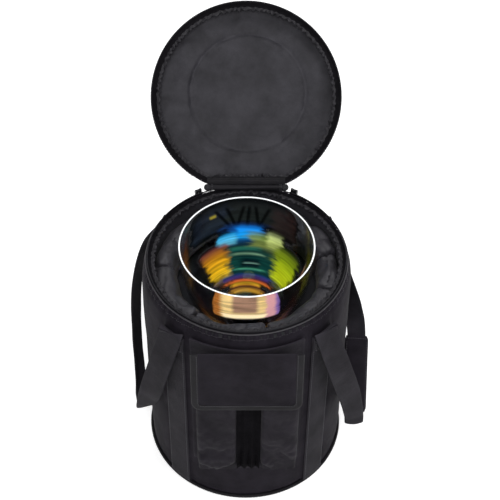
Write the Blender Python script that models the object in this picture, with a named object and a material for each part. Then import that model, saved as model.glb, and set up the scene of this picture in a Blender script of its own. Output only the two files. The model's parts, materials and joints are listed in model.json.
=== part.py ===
"""Crystal singing bowl on a hollow stem, standing in its round padded carrying bag with the lid open.

Metres, +Z up, +Y towards the bag's hinge. The origin is the centre of the bag's flat base.
The lid is modelled shut and its pivot turns it open, so shut and open use the same shapes.
"""

import math

import bmesh
import bpy
from mathutils import Vector

# Driving dimensions of the bag
BAG_RADIUS = 0.156
BAG_HEIGHT = 0.4045
BASE_RADIUS = 0.1543
RIM_RADIUS = 0.148
FABRIC = 0.002
WALL_FOAM = 0.008
LINING = 0.0012
GAP = 0.0003
STEPS = 48

# Base build-up, as heights of each layer's top
BASE_PANEL_TOP = 0.0022
BASE_BOARD_TOP = 0.0055
BASE_FOAM_TOP = 0.0155
WALL_BOTTOM = 0.0075
PIPING_RADIUS = 0.0028

# Rim, zip and hinge; zip heights are above the seam
SEAM_Z = BAG_HEIGHT
SEAM_PIPING = 0.001
RIM_BINDING_INNER = 0.1360
RIM_BINDING_OUTER = 0.1455
RIM_BINDING_BOTTOM = SEAM_Z - 0.0045
RIM_BINDING_TOP = SEAM_Z - 0.0006
COIL_INNER = 0.1445
COIL_OUTER = 0.1465
TAPE_INNER = 0.1449
TAPE_OUTER = 0.1463
LID_TAPE_SHIFT = 0.0002  # the lid's tape sits this much further in
BAG_TAPE = (-0.0002, 0.0030)
BAG_COIL = (0.0033, 0.0053)
LID_COIL = (0.0077, 0.0097)
LID_TAPE = (0.0100, 0.0130)
ZIP_END = 27.0  # degrees each side of the hinge that the bag's half of the zip stops at
LID_ZIP_END = 34.0  # the same for the lid's half, which stops past the parked sliders
HINGE_Y = 0.1385
HINGE_Z = BAG_HEIGHT + 0.0055
HINGE_ROLL_RADIUS = 0.0042
HINGE_HALF_LENGTH = 0.058

# Lid
LID_RADIUS = 0.1465
LID_FLAT_Y = 0.1325  # the hinge side of the lid is cut straight here
LID_SKIRT_Z = BAG_HEIGHT + 0.0133
LID_SKIRT_HEIGHT = 0.032
LID_FOAM = 0.007
LID_EDGE_BEVEL = 0.008
LID_LINING_LIFT = 0.004
LID_BINDING_WIDTH = 0.0095
LID_BINDING_HEIGHT = 0.0037
LID_OPENING = 135.0
LID_STEPS = 44

# Zip sliders
SLIDER_INNER = 0.1469
SLIDER_OUTER = 0.1514
SLIDER_BOTTOM = SEAM_Z + 0.0014
SLIDER_TOP = SEAM_Z + 0.0112
SLIDER_SWEEP = 4.0  # degrees
SLIDER_PARKED = 29.5  # degrees each side of the hinge
TAB_PIVOT_RADIUS = 0.1525
TAB_PIVOT_Z = SEAM_Z + 0.006
TAB_TOP_RADIUS = 0.1518
TAB_FOOT_RADIUS = 0.1577
TAB_THICKNESS = 0.0015
TAB_LENGTH = 0.027
TAB_SWEEP = 2.4  # degrees

# Bowl
BOWL_RIM_Z = BAG_HEIGHT + 0.0234
BOWL_RADIUS = 0.0997
BOWL_DEPTH = 0.148
BOWL_WALL = 0.0032
STEM_RADIUS = 0.020
STEM_WALL = 0.003
STEM_LENGTH = 0.335  # from the rim plane down to the open end of the stem
BOWL_FLOOR = 0.011  # crystal between the cup and the top of the stem's bore

# Padding around the bowl
PAD_JOINTS = (12, 72, 124, 180, 231, 284, 340)  # degrees, anticlockwise from +X
PAD_INNER = 0.1045
PAD_OUTER = 0.139
PAD_BOTTOM = 0.332
PAD_TOP = BAG_HEIGHT - 0.017
CRADLE_RADIUS = 0.141
CRADLE_TOP = 0.330

# Front pocket
POCKET_BACK = 0.1563
POCKET_BOTTOM = 0.088
POCKET_TOP = 0.384
POCKET_FRONT_Y = -0.168
POUCH_BOTTOM = 0.0955
POUCH_TOP = 0.285
POUCH_LEFT = (-0.0745, -0.0155)
POUCH_RIGHT = (0.0215, 0.0775)
POUCH_CLOTH = 0.0016
POUCH_CORNER = 0.007
LOOP_STRIP = (0.034, 0.001, 0.012)
PLEAT_FOLDS = 6
PLEAT_BACK_Y = -0.1592
PLEAT_FRONT_Y = -0.1645
PLEAT_CLOTH = 0.0012
FLAP_PIVOT = (0.0, -0.1600, 0.3795)
FLAP_HALF_WIDTH = 0.0805
FLAP_LENGTH = 0.1135
FLAP_LEAN = 7.3  # degrees that the hanging flap leans away from the bag
FLAP_BINDING = 0.0112
FLAP_CORNER = 0.016
FLAP_TOP = 0.0012
FLAP_CLOTH = 0.0022
FLAP_BINDING_DEPTH = (-0.0004, 0.0030)
HOOK_STRIP_HALF = 0.06
HOOK_STRIP_DOWN = (0.092, 0.101)
HOOK_STRIP_DEPTH = (-0.0013, -0.0003)

# Carrying handles
WEBBING = 0.040
WEBBING_THICKNESS = 0.002
BAND_CENTRE = 47.5  # degrees from the front or back of the bag to each sewn band
BAND_SWEEP = 14.6
BAND_INNER = 0.1566
BAND_BOTTOM = 0.0085
BAND_TOP = 0.3715
HANDLE_PIVOT_X = 0.135
HANDLE_PIVOT_Z = 0.374
GRIP_START = (0.1704, -0.0800, 0.1210)
GRIP_END = (0.1779, 0.0300, 0.1790)
GRIP_HALF = 0.019
GRIP_DEEP = 0.010
GRIP_SET_BACK = 0.006  # from the bend in the webbing to the grip's lower end
GRIP_PAST_END = 0.002


def look(name, colour, roughness, metallic=0.0):
    """A Principled material with one colour, roughness and metallic value."""
    material = bpy.data.materials.new(name)
    material.use_nodes = True
    shader = material.node_tree.nodes["Principled BSDF"]
    shader.inputs["Base Color"].default_value = (*colour, 1.0)
    shader.inputs["Roughness"].default_value = roughness
    shader.inputs["Metallic"].default_value = metallic
    return material


def make_looks():
    """The materials, by name."""
    return {
        "shell": look("shell", (0.012, 0.012, 0.014), 0.8),
        "lining": look("lining", (0.02, 0.02, 0.024), 0.55),
        "pad": look("pad", (0.018, 0.018, 0.022), 0.5),
        "foam": look("foam", (0.12, 0.12, 0.12), 0.95),
        "board": look("board", (0.05, 0.05, 0.055), 0.6),
        "binding": look("binding", (0.01, 0.01, 0.012), 0.7),
        "webbing": look("webbing", (0.011, 0.011, 0.013), 0.75),
        "zip": look("zip", (0.02, 0.02, 0.022), 0.4),
        "slider": look("slider", (0.03, 0.03, 0.033), 0.3, 0.9),
        "hook": look("hook", (0.01, 0.01, 0.01), 0.9),
        "crystal": look("crystal", (0.75, 0.8, 0.85), 0.05),
    }


def pivot(name, location, turn=0.0):
    """An empty on a joint's axis, turned about X by some degrees."""
    empty = bpy.data.objects.new(name, None)
    empty.location = location
    empty.rotation_euler = (math.radians(turn), 0.0, 0.0)
    bpy.context.collection.objects.link(empty)
    return empty


def add_part(name, bm, material, parent):
    """Put a closed mesh, drawn in the bag's frame, under its pivot."""
    bmesh.ops.remove_doubles(bm, verts=bm.verts, dist=1e-6)
    bmesh.ops.recalc_face_normals(bm, faces=bm.faces)
    bmesh.ops.translate(bm, verts=bm.verts, vec=-Vector(parent.location))
    mesh = bpy.data.meshes.new(name)
    bm.to_mesh(mesh)
    bm.free()
    mesh.shade_smooth()
    mesh.set_sharp_from_angle(angle=math.radians(35))
    mesh.materials.append(material)
    part = bpy.data.objects.new(name, mesh)
    part.parent = parent
    bpy.context.collection.objects.link(part)
    return part


def bridge(bm, here, there):
    """Quads between two loops of the same number of vertices."""
    count = len(here)
    for i in range(count):
        j = (i + 1) % count
        bm.faces.new((here[i], here[j], there[j], there[i]))


def loft(name, sections, material, parent, ring=False):
    """Join closed outlines one after another; the ends are capped, or joined to make a ring."""
    bm = bmesh.new()
    loops = [[bm.verts.new(point) for point in section] for section in sections]
    for here, there in zip(loops, loops[1:]):
        bridge(bm, here, there)
    if ring:
        bridge(bm, loops[-1], loops[0])
    else:
        bm.faces.new(loops[0])
        bm.faces.new(loops[-1])
    return add_part(name, bm, material, parent)


def at_angle(radius, degrees, z):
    """A point at an angle about the bag's axis."""
    angle = math.radians(degrees)
    return (radius * math.cos(angle), radius * math.sin(angle), z)


def turned(name, profile, material, parent, start=0.0, sweep=360.0, steps=STEPS):
    """Turn a closed (radius, height) outline about the bag's axis; a part turn gets flat ends."""
    bm = bmesh.new()
    whole = sweep >= 360.0
    count = steps if whole else steps + 1
    loops = []
    for i in range(count):
        angle = start + sweep * i / steps
        loops.append([bm.verts.new(at_angle(r, angle, z)) for r, z in profile])
    for i in range(steps):
        bridge(bm, loops[i], loops[(i + 1) % count])
    if not whole:
        bm.faces.new(loops[0])
        bm.faces.new(loops[-1])
    return add_part(name, bm, material, parent)


def disc(name, radius, bottom, top, material, parent):
    """A flat round layer with plain faces."""
    angles = [360.0 * i / STEPS for i in range(STEPS)]
    sections = [[at_angle(radius, a, z) for a in angles] for z in (bottom, top)]
    return loft(name, sections, material, parent)


def square_profile(inner, outer, low, high):
    """A four-cornered (radius, height) outline."""
    return [(inner, low), (outer, low), (outer, high), (inner, high)]


def circle_profile(radius, centre_r, centre_z, sides=6):
    """A small round section for piping."""
    turns = [2 * math.pi * i / sides for i in range(sides)]
    return [(centre_r + radius * math.cos(t), centre_z + radius * math.sin(t)) for t in turns]


def wall_radius(z):
    """Outer radius of the bag at a height: a straight side with a soft shoulder under the rim."""
    stations = (
        (0.0, BASE_RADIUS),
        (0.03, 0.1555),
        (0.12, BAG_RADIUS),
        (BAG_HEIGHT - 0.039, BAG_RADIUS),
        (BAG_HEIGHT - 0.0187, 0.1537),
        (BAG_HEIGHT - 0.0078, 0.1509),
        (BAG_HEIGHT, RIM_RADIUS),
    )
    for (z0, r0), (z1, r1) in zip(stations, stations[1:]):
        if z <= z1:
            return r0 + (r1 - r0) * (z - z0) / (z1 - z0)
    return RIM_RADIUS


def wall_profile(outside, thickness, bottom, top):
    """Outline of one layer of the bag's wall, so far inside the outer surface."""
    bends = (0.03, 0.12, BAG_HEIGHT - 0.039, BAG_HEIGHT - 0.0187, BAG_HEIGHT - 0.0078)
    heights = [bottom] + [z for z in bends if bottom < z < top] + [top]
    outer = [(wall_radius(z) - outside, z) for z in heights]
    inner = [(wall_radius(z) - outside - thickness, z) for z in reversed(heights)]
    return outer + inner


def make_bag(looks, root):
    """Shell, foam, lining, base layers and pipings."""
    foam_depth = FABRIC + GAP
    lining_depth = foam_depth + WALL_FOAM + GAP
    shell = wall_profile(0.0, FABRIC, WALL_BOTTOM, SEAM_Z - 0.0014)
    turned("body_shell", shell, looks["shell"], root)
    wall_top = SEAM_Z - 0.005
    foam = wall_profile(foam_depth, WALL_FOAM, BASE_FOAM_TOP + GAP, wall_top)
    turned("wall_foam", foam, looks["foam"], root)
    floor = BASE_FOAM_TOP + GAP
    cup = wall_profile(lining_depth, LINING, floor, wall_top)
    cup[-1] = (cup[-1][0], floor + LINING)
    turned("body_lining", [(0.0, floor)] + cup + [(0.0, floor + LINING)], looks["lining"], root)

    disc("base_panel", 0.1520, 0.0, BASE_PANEL_TOP, looks["shell"], root)
    disc("base_board", 0.150, BASE_PANEL_TOP + GAP, BASE_BOARD_TOP, looks["board"], root)
    disc("base_foam", 0.1510, BASE_BOARD_TOP + GAP, BASE_FOAM_TOP, looks["foam"], root)
    base_piping = circle_profile(PIPING_RADIUS, 0.1554, 0.0042)
    turned("base_piping", base_piping, looks["binding"], root)


def make_rim(looks, root):
    """The piped seam, gathered binding, zip tape and zip coil round the bag's mouth."""
    piping = circle_profile(SEAM_PIPING, RIM_RADIUS - GAP, SEAM_Z)
    turned("rim_piping", piping, looks["binding"], root)
    binding = square_profile(RIM_BINDING_INNER, RIM_BINDING_OUTER, RIM_BINDING_BOTTOM, RIM_BINDING_TOP)
    turned("rim_binding", binding, looks["binding"], root)
    start = 90.0 + ZIP_END
    sweep = 360.0 - 2 * ZIP_END
    tape = square_profile(TAPE_INNER, TAPE_OUTER, SEAM_Z + BAG_TAPE[0], SEAM_Z + BAG_TAPE[1])
    turned("zip_tape_body", tape, looks["binding"], root, start, sweep, LID_STEPS)
    coil = square_profile(COIL_INNER, COIL_OUTER, SEAM_Z + BAG_COIL[0], SEAM_Z + BAG_COIL[1])
    turned("zip_coil_body", coil, looks["zip"], root, start, sweep, LID_STEPS)


def make_hinge_roll(looks, root):
    """The rolled cloth strip that joins the lid to the bag, on the hinge's axis."""
    sides = 12
    sections = []
    for x in (-HINGE_HALF_LENGTH, HINGE_HALF_LENGTH):
        turns = [2 * math.pi * i / sides for i in range(sides)]
        section = []
        for t in turns:
            y = HINGE_Y + HINGE_ROLL_RADIUS * math.cos(t)
            z = HINGE_Z + HINGE_ROLL_RADIUS * math.sin(t)
            section.append((x, y, z))
        sections.append(section)
    loft("hinge_roll", sections, looks["binding"], root)


def lid_outline(inset, z):
    """The lid's outline, a circle with a straight hinge side, moved in by inset."""
    radius = LID_RADIUS - inset
    flat = LID_FLAT_Y - inset
    half = math.degrees(math.acos(flat / radius))
    start = 90.0 + half
    sweep = 360.0 - 2 * half
    return [at_angle(radius, start + sweep * i / LID_STEPS, z) for i in range(LID_STEPS + 1)]


def make_lid(looks, lid):
    """The lid's shell, foam, lining, bindings and its half of the zip, all in the shut position."""
    bottom = LID_SKIRT_Z
    top = bottom + LID_SKIRT_HEIGHT
    ceiling = top - FABRIC
    shell = [
        lid_outline(FABRIC, ceiling),
        lid_outline(FABRIC, bottom),
        lid_outline(0.0, bottom),
        lid_outline(0.0, top - 0.75 * LID_EDGE_BEVEL),
        lid_outline(0.3 * LID_EDGE_BEVEL, top - 0.12 * LID_EDGE_BEVEL),
        lid_outline(LID_EDGE_BEVEL, top),
    ]
    loft("lid_shell", shell, looks["shell"], lid)
    side = FABRIC + GAP
    foam_bottom = ceiling - GAP - LID_FOAM
    foam = [lid_outline(side, ceiling - GAP), lid_outline(side, foam_bottom)]
    loft("lid_foam", foam, looks["foam"], lid)
    lining_top = foam_bottom - GAP
    lining = [
        lid_outline(side, lining_top),
        lid_outline(side, bottom + LID_LINING_LIFT),
        lid_outline(side + LINING, bottom + LID_LINING_LIFT),
        lid_outline(side + LINING, lining_top - LINING),
    ]
    loft("lid_lining", lining, looks["lining"], lid)
    high = bottom + LID_BINDING_HEIGHT
    inner = side + LID_BINDING_WIDTH
    binding = [
        lid_outline(side, bottom),
        lid_outline(side, high),
        lid_outline(inner, high),
        lid_outline(inner, bottom),
    ]
    loft("lid_binding", binding, looks["binding"], lid, ring=True)
    start = 90.0 + LID_ZIP_END
    sweep = 360.0 - 2 * LID_ZIP_END
    tape_inner = TAPE_INNER - LID_TAPE_SHIFT
    tape_outer = TAPE_OUTER - LID_TAPE_SHIFT
    tape = square_profile(tape_inner, tape_outer, SEAM_Z + LID_TAPE[0], SEAM_Z + LID_TAPE[1])
    turned("zip_tape_lid", tape, looks["binding"], lid, start, sweep, LID_STEPS)
    coil = square_profile(COIL_INNER, COIL_OUTER, SEAM_Z + LID_COIL[0], SEAM_Z + LID_COIL[1])
    turned("zip_coil_lid", coil, looks["zip"], lid, start, sweep, LID_STEPS)


def make_slider(name, degrees, looks, slider, tab):
    """One zip slider outside the coil, with the pull tab that hangs from it."""
    side = 0.0008
    edge = 0.002
    body = [
        (SLIDER_INNER, SLIDER_BOTTOM),
        (SLIDER_OUTER - side, SLIDER_BOTTOM),
        (SLIDER_OUTER, SLIDER_BOTTOM + edge),
        (SLIDER_OUTER, SLIDER_TOP - edge),
        (SLIDER_OUTER - side, SLIDER_TOP),
        (SLIDER_INNER, SLIDER_TOP),
    ]
    start = degrees - 0.5 * SLIDER_SWEEP
    turned("zip_slider_" + name, body, looks["slider"], slider, start, SLIDER_SWEEP, 2)
    foot = TAB_PIVOT_Z - TAB_LENGTH
    pull = [
        (TAB_TOP_RADIUS, TAB_PIVOT_Z),
        (TAB_TOP_RADIUS + TAB_THICKNESS, TAB_PIVOT_Z),
        (TAB_FOOT_RADIUS + TAB_THICKNESS, foot),
        (TAB_FOOT_RADIUS, foot),
    ]
    turned("pull_tab_" + name, pull, looks["slider"], tab, degrees - 0.5 * TAB_SWEEP, TAB_SWEEP, 1)


def bowl_curve(radius, depth, end_radius):
    """Points down a bowl's side, from its rim to where its radius has shrunk to end_radius."""
    points = []
    steps = 13
    last = math.acos((end_radius / radius) ** (1 / 0.75))
    for i in range(steps + 1):
        t = last * math.sin(0.5 * math.pi * i / steps)
        points.append((radius * math.cos(t) ** 0.75, BOWL_RIM_Z - depth * math.sin(t) ** 0.9))
    return points


def bowl_radius(z):
    """The bowl's outer radius at a height."""
    t = math.asin(((BOWL_RIM_Z - z) / BOWL_DEPTH) ** (1 / 0.9))
    return BOWL_RADIUS * math.cos(t) ** 0.75


def make_bowl(looks, bowl):
    """The clear bowl and its hollow stem, one fused piece."""
    end = BOWL_RIM_Z - STEM_LENGTH
    outer = bowl_curve(BOWL_RADIUS, BOWL_DEPTH, 0.028)
    neck_z = BOWL_RIM_Z - BOWL_DEPTH - 0.010
    outer += [(0.0225, neck_z + 0.003), (STEM_RADIUS, neck_z - 0.006)]
    outer += [(STEM_RADIUS, end + 0.02), (STEM_RADIUS + 0.0015, end + 0.006), (STEM_RADIUS + 0.0012, end)]
    bore = STEM_RADIUS - STEM_WALL
    cup_floor = BOWL_RIM_Z - BOWL_DEPTH + BOWL_WALL
    bore_top = cup_floor - BOWL_FLOOR
    inner = [(bore, end), (bore, bore_top - 0.003), (bore - 0.004, bore_top), (0.0, bore_top)]
    cup = bowl_curve(BOWL_RADIUS - BOWL_WALL, BOWL_DEPTH - BOWL_WALL, 0.024)
    inner += [(0.0, cup_floor), (0.012, cup_floor + 0.0004)] + list(reversed(cup))
    lip = [(BOWL_RADIUS - BOWL_WALL * 0.5, BOWL_RIM_Z + 0.0009)]
    turned("crystal_bowl", outer + inner + lip, looks["crystal"], bowl)


def make_padding(looks, root):
    """The foam cradle that carries the bowl and the soft pads round its side."""
    clearance = 0.001
    seat = []
    for r, z in bowl_curve(BOWL_RADIUS, BOWL_DEPTH, 0.030):
        if z < CRADLE_TOP - 0.004:
            seat.append((r + clearance, z - clearance))
    floor = BASE_FOAM_TOP + GAP + LINING + GAP
    bore = STEM_RADIUS + 0.0025
    stem_end = BOWL_RIM_Z - STEM_LENGTH - GAP
    profile = [(0.0, floor), (CRADLE_RADIUS, floor), (CRADLE_RADIUS, CRADLE_TOP)]
    profile += [(bowl_radius(CRADLE_TOP) + 2 * clearance, CRADLE_TOP)]
    profile += seat
    profile += [(bore, seat[-1][1] - 0.012), (bore, stem_end), (0.0, stem_end)]
    turned("cradle_foam", profile, looks["foam"], root)

    half_gap = 0.4
    ends = list(PAD_JOINTS[1:]) + [PAD_JOINTS[0] + 360]
    for number, (start, end) in enumerate(zip(PAD_JOINTS, ends), 1):
        section = [
            (PAD_INNER, PAD_BOTTOM),
            (PAD_OUTER, PAD_BOTTOM),
            (PAD_OUTER, PAD_TOP - 0.012),
            (PAD_OUTER - 0.008, PAD_TOP),
            (PAD_INNER + 0.009, PAD_TOP),
            (PAD_INNER, PAD_TOP - 0.010),
        ]
        sweep = end - start - 2 * half_gap
        turned("side_pad_%d" % number, section, looks["pad"], root, start + half_gap, sweep, 7)


def pouch_outline(left, right, inset, z):
    """Plan outline of a pouch: its back follows the bag, its front is flat with round corners."""
    back = POCKET_BACK + 0.0015 + inset
    front = POCKET_FRONT_Y + inset
    x0 = left + inset
    x1 = right - inset
    corner = POUCH_CORNER - inset
    points = []
    for i in range(5):
        x = x0 + (x1 - x0) * i / 4
        points.append((x, -math.sqrt(back * back - x * x), z))
    for x, first in ((x1 - corner, 0.0), (x0 + corner, -90.0)):
        for i in range(4):
            turn = math.radians(first - 30.0 * i)
            points.append((x + corner * math.cos(turn), front + corner + corner * math.sin(turn), z))
    return points


def make_pouch(name, span, looks, root):
    """One open pouch, with the strip on its front that the flap sticks to."""
    left, right = span
    floor = POUCH_BOTTOM + POUCH_CLOTH
    sections = [
        pouch_outline(left, right, 0.0, POUCH_BOTTOM),
        pouch_outline(left, right, 0.0, POUCH_TOP),
        pouch_outline(left, right, POUCH_CLOTH, POUCH_TOP),
        pouch_outline(left, right, POUCH_CLOTH, floor),
    ]
    loft("pouch_" + name, sections, looks["shell"], root)
    middle = 0.5 * (left + right)
    place = (middle, POCKET_FRONT_Y - 0.0009, POUCH_TOP - 0.008)
    box("loop_strip_" + name, place, LOOP_STRIP, looks["hook"], root)


def box(name, centre, size, material, parent):
    """A plain block, for the small hook and loop strips."""
    x, y, z = (0.5 * s for s in size)
    corners = ((-x, -y), (x, -y), (x, y), (-x, y))
    sections = []
    for rise in (-z, z):
        sections.append([(centre[0] + dx, centre[1] + dy, centre[2] + rise) for dx, dy in corners])
    return loft(name, sections, material, parent)


def make_pocket(looks, root):
    """The pocket's back panel, two pouches and the folded pleat between them."""
    back = square_profile(POCKET_BACK, POCKET_BACK + 0.001, POCKET_BOTTOM, POCKET_TOP)
    turned("pocket_back", back, looks["shell"], root, -121.0, 62.0, 12)
    make_pouch("left", POUCH_LEFT, looks, root)
    make_pouch("right", POUCH_RIGHT, looks, root)
    x0 = POUCH_LEFT[1] + 0.001
    x1 = POUCH_RIGHT[0] - 0.001
    front = []
    for i in range(PLEAT_FOLDS + 1):
        depth = PLEAT_BACK_Y if i % 2 == 0 else PLEAT_FRONT_Y
        front.append((x0 + (x1 - x0) * i / PLEAT_FOLDS, depth))
    behind = [(x, y + PLEAT_CLOTH) for x, y in reversed(front)]
    sections = [[(x, y, z) for x, y in front + behind] for z in (POUCH_BOTTOM, POUCH_TOP - 0.003)]
    loft("pocket_pleat", sections, looks["shell"], root)


def on_flap(x, down, out):
    """A point on the hanging flap: across, down its slope and out from its inner face."""
    lean = math.radians(FLAP_LEAN)
    y = FLAP_PIVOT[1] - down * math.sin(lean) - out * math.cos(lean)
    z = FLAP_PIVOT[2] - down * math.cos(lean) + out * math.sin(lean)
    return (x, y, z)


def rounded_foot(half, length, corner, top):
    """Half outline of the flap from its top right, round the lower corner to the middle line."""
    points = [(half, top)]
    for i in range(5):
        turn = math.radians(22.5 * i)
        points.append((half - corner + corner * math.cos(turn), length - corner + corner * math.sin(turn)))
    return points


def both_sides(half_points):
    """Mirror a half outline about the middle line, right side first."""
    return half_points + [(-x, down) for x, down in reversed(half_points)]


def make_flap(looks, flap):
    """The pocket's flap, its bound edge and the strip inside it."""
    panel_half = FLAP_HALF_WIDTH - FLAP_BINDING - GAP
    panel_length = FLAP_LENGTH - FLAP_BINDING - GAP
    panel = both_sides(rounded_foot(panel_half, panel_length, FLAP_CORNER - FLAP_BINDING, FLAP_TOP))
    sections = [[on_flap(x, down, out) for x, down in panel] for out in (0.0, FLAP_CLOTH)]
    loft("flap_panel", sections, looks["shell"], flap)
    outer = both_sides(rounded_foot(FLAP_HALF_WIDTH, FLAP_LENGTH, FLAP_CORNER, FLAP_TOP))
    inner_corner = FLAP_CORNER - FLAP_BINDING + GAP
    inner = both_sides(rounded_foot(panel_half + GAP, panel_length + GAP, inner_corner, FLAP_TOP))
    outline = outer + list(reversed(inner))
    sections = [[on_flap(x, down, out) for x, down in outline] for out in FLAP_BINDING_DEPTH]
    loft("flap_binding", sections, looks["binding"], flap)
    high, low = HOOK_STRIP_DOWN
    half = HOOK_STRIP_HALF
    strip = ((-half, high), (half, high), (half, low), (-half, low))
    sections = [[on_flap(x, down, out) for x, down in strip] for out in HOOK_STRIP_DEPTH]
    loft("hook_strip", sections, looks["hook"], flap)


def smooth_route(points, samples):
    """Even samples along a Catmull-Rom curve through the points."""
    padded = [points[0] * 2 - points[1]] + points + [points[-1] * 2 - points[-2]]
    spans = len(points) - 1
    route = []
    for i in range(samples + 1):
        place = spans * i / samples
        span = min(int(place), spans - 1)
        t = place - span
        a, b, c, d = padded[span:span + 4]
        route.append(0.5 * (2 * b + (c - a) * t + (2 * a - 5 * b + 4 * c - d) * t * t
                            + (3 * b - a - 3 * c + d) * t ** 3))
    return route


def strap(name, stops, material, parent, samples=30):
    """A flat strap through stops of (point, width direction, width)."""
    centres = smooth_route([Vector(p) for p, _, _ in stops], samples)
    across = smooth_route([Vector(w).normalized() * width for _, w, width in stops], samples)
    sections = []
    for i, centre in enumerate(centres):
        along = (centres[min(i + 1, samples)] - centres[max(i - 1, 0)]).normalized()
        half = across[i] - along * across[i].dot(along)
        half = half.normalized() * across[i].length * 0.5
        flat = along.cross(half).normalized() * WEBBING_THICKNESS * 0.5
        left = centre - half
        right = centre + half
        sections.append([left - flat, right - flat, right + flat, left + flat])
    return loft(name, sections, material, parent)


def make_bands(looks, root):
    """The four webbing bands sewn down the bag under the handles."""
    section = [
        (BAND_INNER, BAND_BOTTOM),
        (BAND_INNER + WEBBING_THICKNESS, BAND_BOTTOM),
        (BAND_INNER + WEBBING_THICKNESS, BAND_TOP),
        (BAND_INNER, BAND_TOP),
    ]
    places = {
        "front_right": -90.0 + BAND_CENTRE - 4.0,
        "front_left": -90.0 - BAND_CENTRE + 5.4,
        "rear_right": 90.0 - BAND_CENTRE,
        "rear_left": 90.0 + BAND_CENTRE,
    }
    for place, middle in places.items():
        turned("band_" + place, section, looks["webbing"], root, middle - 0.5 * BAND_SWEEP, BAND_SWEEP, 3)


def make_handles(looks, left, right):
    """The two webbing loops that hang beside the bag."""
    front_across = (0.743, -0.669, 0.0)
    rear_across = (0.743, 0.669, 0.0)
    left_stops = [
        ((-0.1085, -0.1220, 0.3715), front_across, WEBBING),
        ((-0.1270, -0.1170, 0.300), (0.76, -0.62, 0.10), WEBBING),
        ((-0.1450, -0.1020, 0.215), (0.80, -0.50, 0.30), 0.036),
        ((-0.1580, -0.0760, 0.145), (0.85, -0.20, 0.45), 0.028),
        ((-0.1640, -0.0450, 0.118), (0.75, 0.35, 0.50), 0.024),
        ((-0.1690, -0.0100, 0.150), (0.45, 0.75, -0.45), 0.028),
        ((-0.1720, 0.0200, 0.220), (0.30, 0.90, -0.30), 0.036),
        ((-0.1690, 0.0550, 0.290), (0.35, 0.90, -0.10), WEBBING),
        ((-0.1500, 0.0900, 0.342), (0.55, 0.80, 0.0), WEBBING),
        ((-0.1150, 0.1200, 0.3715), rear_across, WEBBING),
    ]
    strap("handle_left", left_stops, looks["webbing"], left)
    right_stops = [
        ((0.1105, -0.1200, 0.3715), (0.743, 0.669, 0.0), WEBBING),
        ((0.1360, -0.1180, 0.292), (0.76, 0.62, 0.10), WEBBING),
        ((0.1580, -0.1060, 0.205), (0.85, 0.45, 0.20), 0.036),
        ((0.1690, -0.0960, 0.140), (0.95, 0.20, 0.15), 0.030),
        (GRIP_START, (1.0, -0.05, 0.0), 0.029),
        (GRIP_END, (1.0, -0.05, 0.0), 0.029),
        ((0.1700, 0.0660, 0.216), (0.85, -0.45, 0.0), 0.034),
        ((0.1520, 0.0920, 0.280), (0.60, -0.78, 0.0), WEBBING),
        ((0.1330, 0.1080, 0.336), (0.66, -0.74, 0.0), WEBBING),
        ((0.1150, 0.1200, 0.3715), (0.743, -0.669, 0.0), WEBBING),
    ]
    strap("handle_right", right_stops, looks["webbing"], right, samples=36)


def grip_frame():
    """The grip's axis, its width direction and the direction that its flap faces."""
    along = (Vector(GRIP_END) - Vector(GRIP_START)).normalized()
    across = Vector((1.0, 0.0, 0.0))
    across = (across - along * across.dot(along)).normalized()
    return along, across, across.cross(along).normalized()


def make_grip(looks, handle, grip):
    """The padded grip round the right handle: a fixed half and the half that peels open."""
    along, across, facing = grip_frame()
    start = Vector(GRIP_START) + along * GRIP_SET_BACK
    end = Vector(GRIP_END) + along * GRIP_PAST_END
    inside = 0.0155
    half = [
        (-GRIP_HALF, GAP),
        (-GRIP_HALF, 0.006),
        (-0.014, GRIP_DEEP),
        (0.014, GRIP_DEEP),
        (GRIP_HALF, 0.006),
        (GRIP_HALF, GAP),
        (inside, GAP),
        (inside, 0.0055),
        (-inside, 0.0055),
        (-inside, GAP),
    ]
    for name, side, parent in (("grip_base", -1.0, handle), ("grip_flap", 1.0, grip)):
        sections = []
        for centre in (start, end):
            sections.append([centre + across * w + facing * (n * side) for w, n in half])
        loft(name, sections, looks["pad"], parent)


def clear_scene():
    """Take every object out of the scene."""
    for item in list(bpy.data.objects):
        bpy.data.objects.remove(item, do_unlink=True)


def main():
    clear_scene()
    looks = make_looks()
    root = pivot("bag", (0.0, 0.0, 0.0))
    lid = pivot("lid_pivot", (0.0, HINGE_Y, HINGE_Z), -LID_OPENING)
    bowl = pivot("bowl_pivot", (0.0, 0.0, BOWL_RIM_Z))
    flap = pivot("flap_pivot", FLAP_PIVOT)
    left = pivot("handle_left_pivot", (-HANDLE_PIVOT_X, 0.0, HANDLE_PIVOT_Z))
    right = pivot("handle_right_pivot", (HANDLE_PIVOT_X, 0.0, HANDLE_PIVOT_Z))
    _, across, _ = grip_frame()
    grip = pivot("grip_pivot", Vector(GRIP_START) + across * GRIP_HALF)

    make_bag(looks, root)
    make_rim(looks, root)
    make_hinge_roll(looks, root)
    make_padding(looks, root)
    make_pocket(looks, root)
    make_bands(looks, root)
    make_lid(looks, lid)
    make_bowl(looks, bowl)
    make_flap(looks, flap)
    make_handles(looks, left, right)
    make_grip(looks, right, grip)
    for name, degrees in (("left", 90.0 + SLIDER_PARKED), ("right", 90.0 - SLIDER_PARKED)):
        slider = pivot("slider_%s_pivot" % name, (0.0, 0.0, SEAM_Z))
        tab = pivot("tab_%s_pivot" % name, at_angle(TAB_PIVOT_RADIUS, degrees, TAB_PIVOT_Z))
        make_slider(name, degrees, looks, slider, tab)


main()
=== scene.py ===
"""Looks for a crystal singing bowl in its padded round carrying bag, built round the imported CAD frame."""

import json
import math

import bmesh
import bpy
import numpy as np
from mathutils import Matrix, Vector, noise

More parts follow.
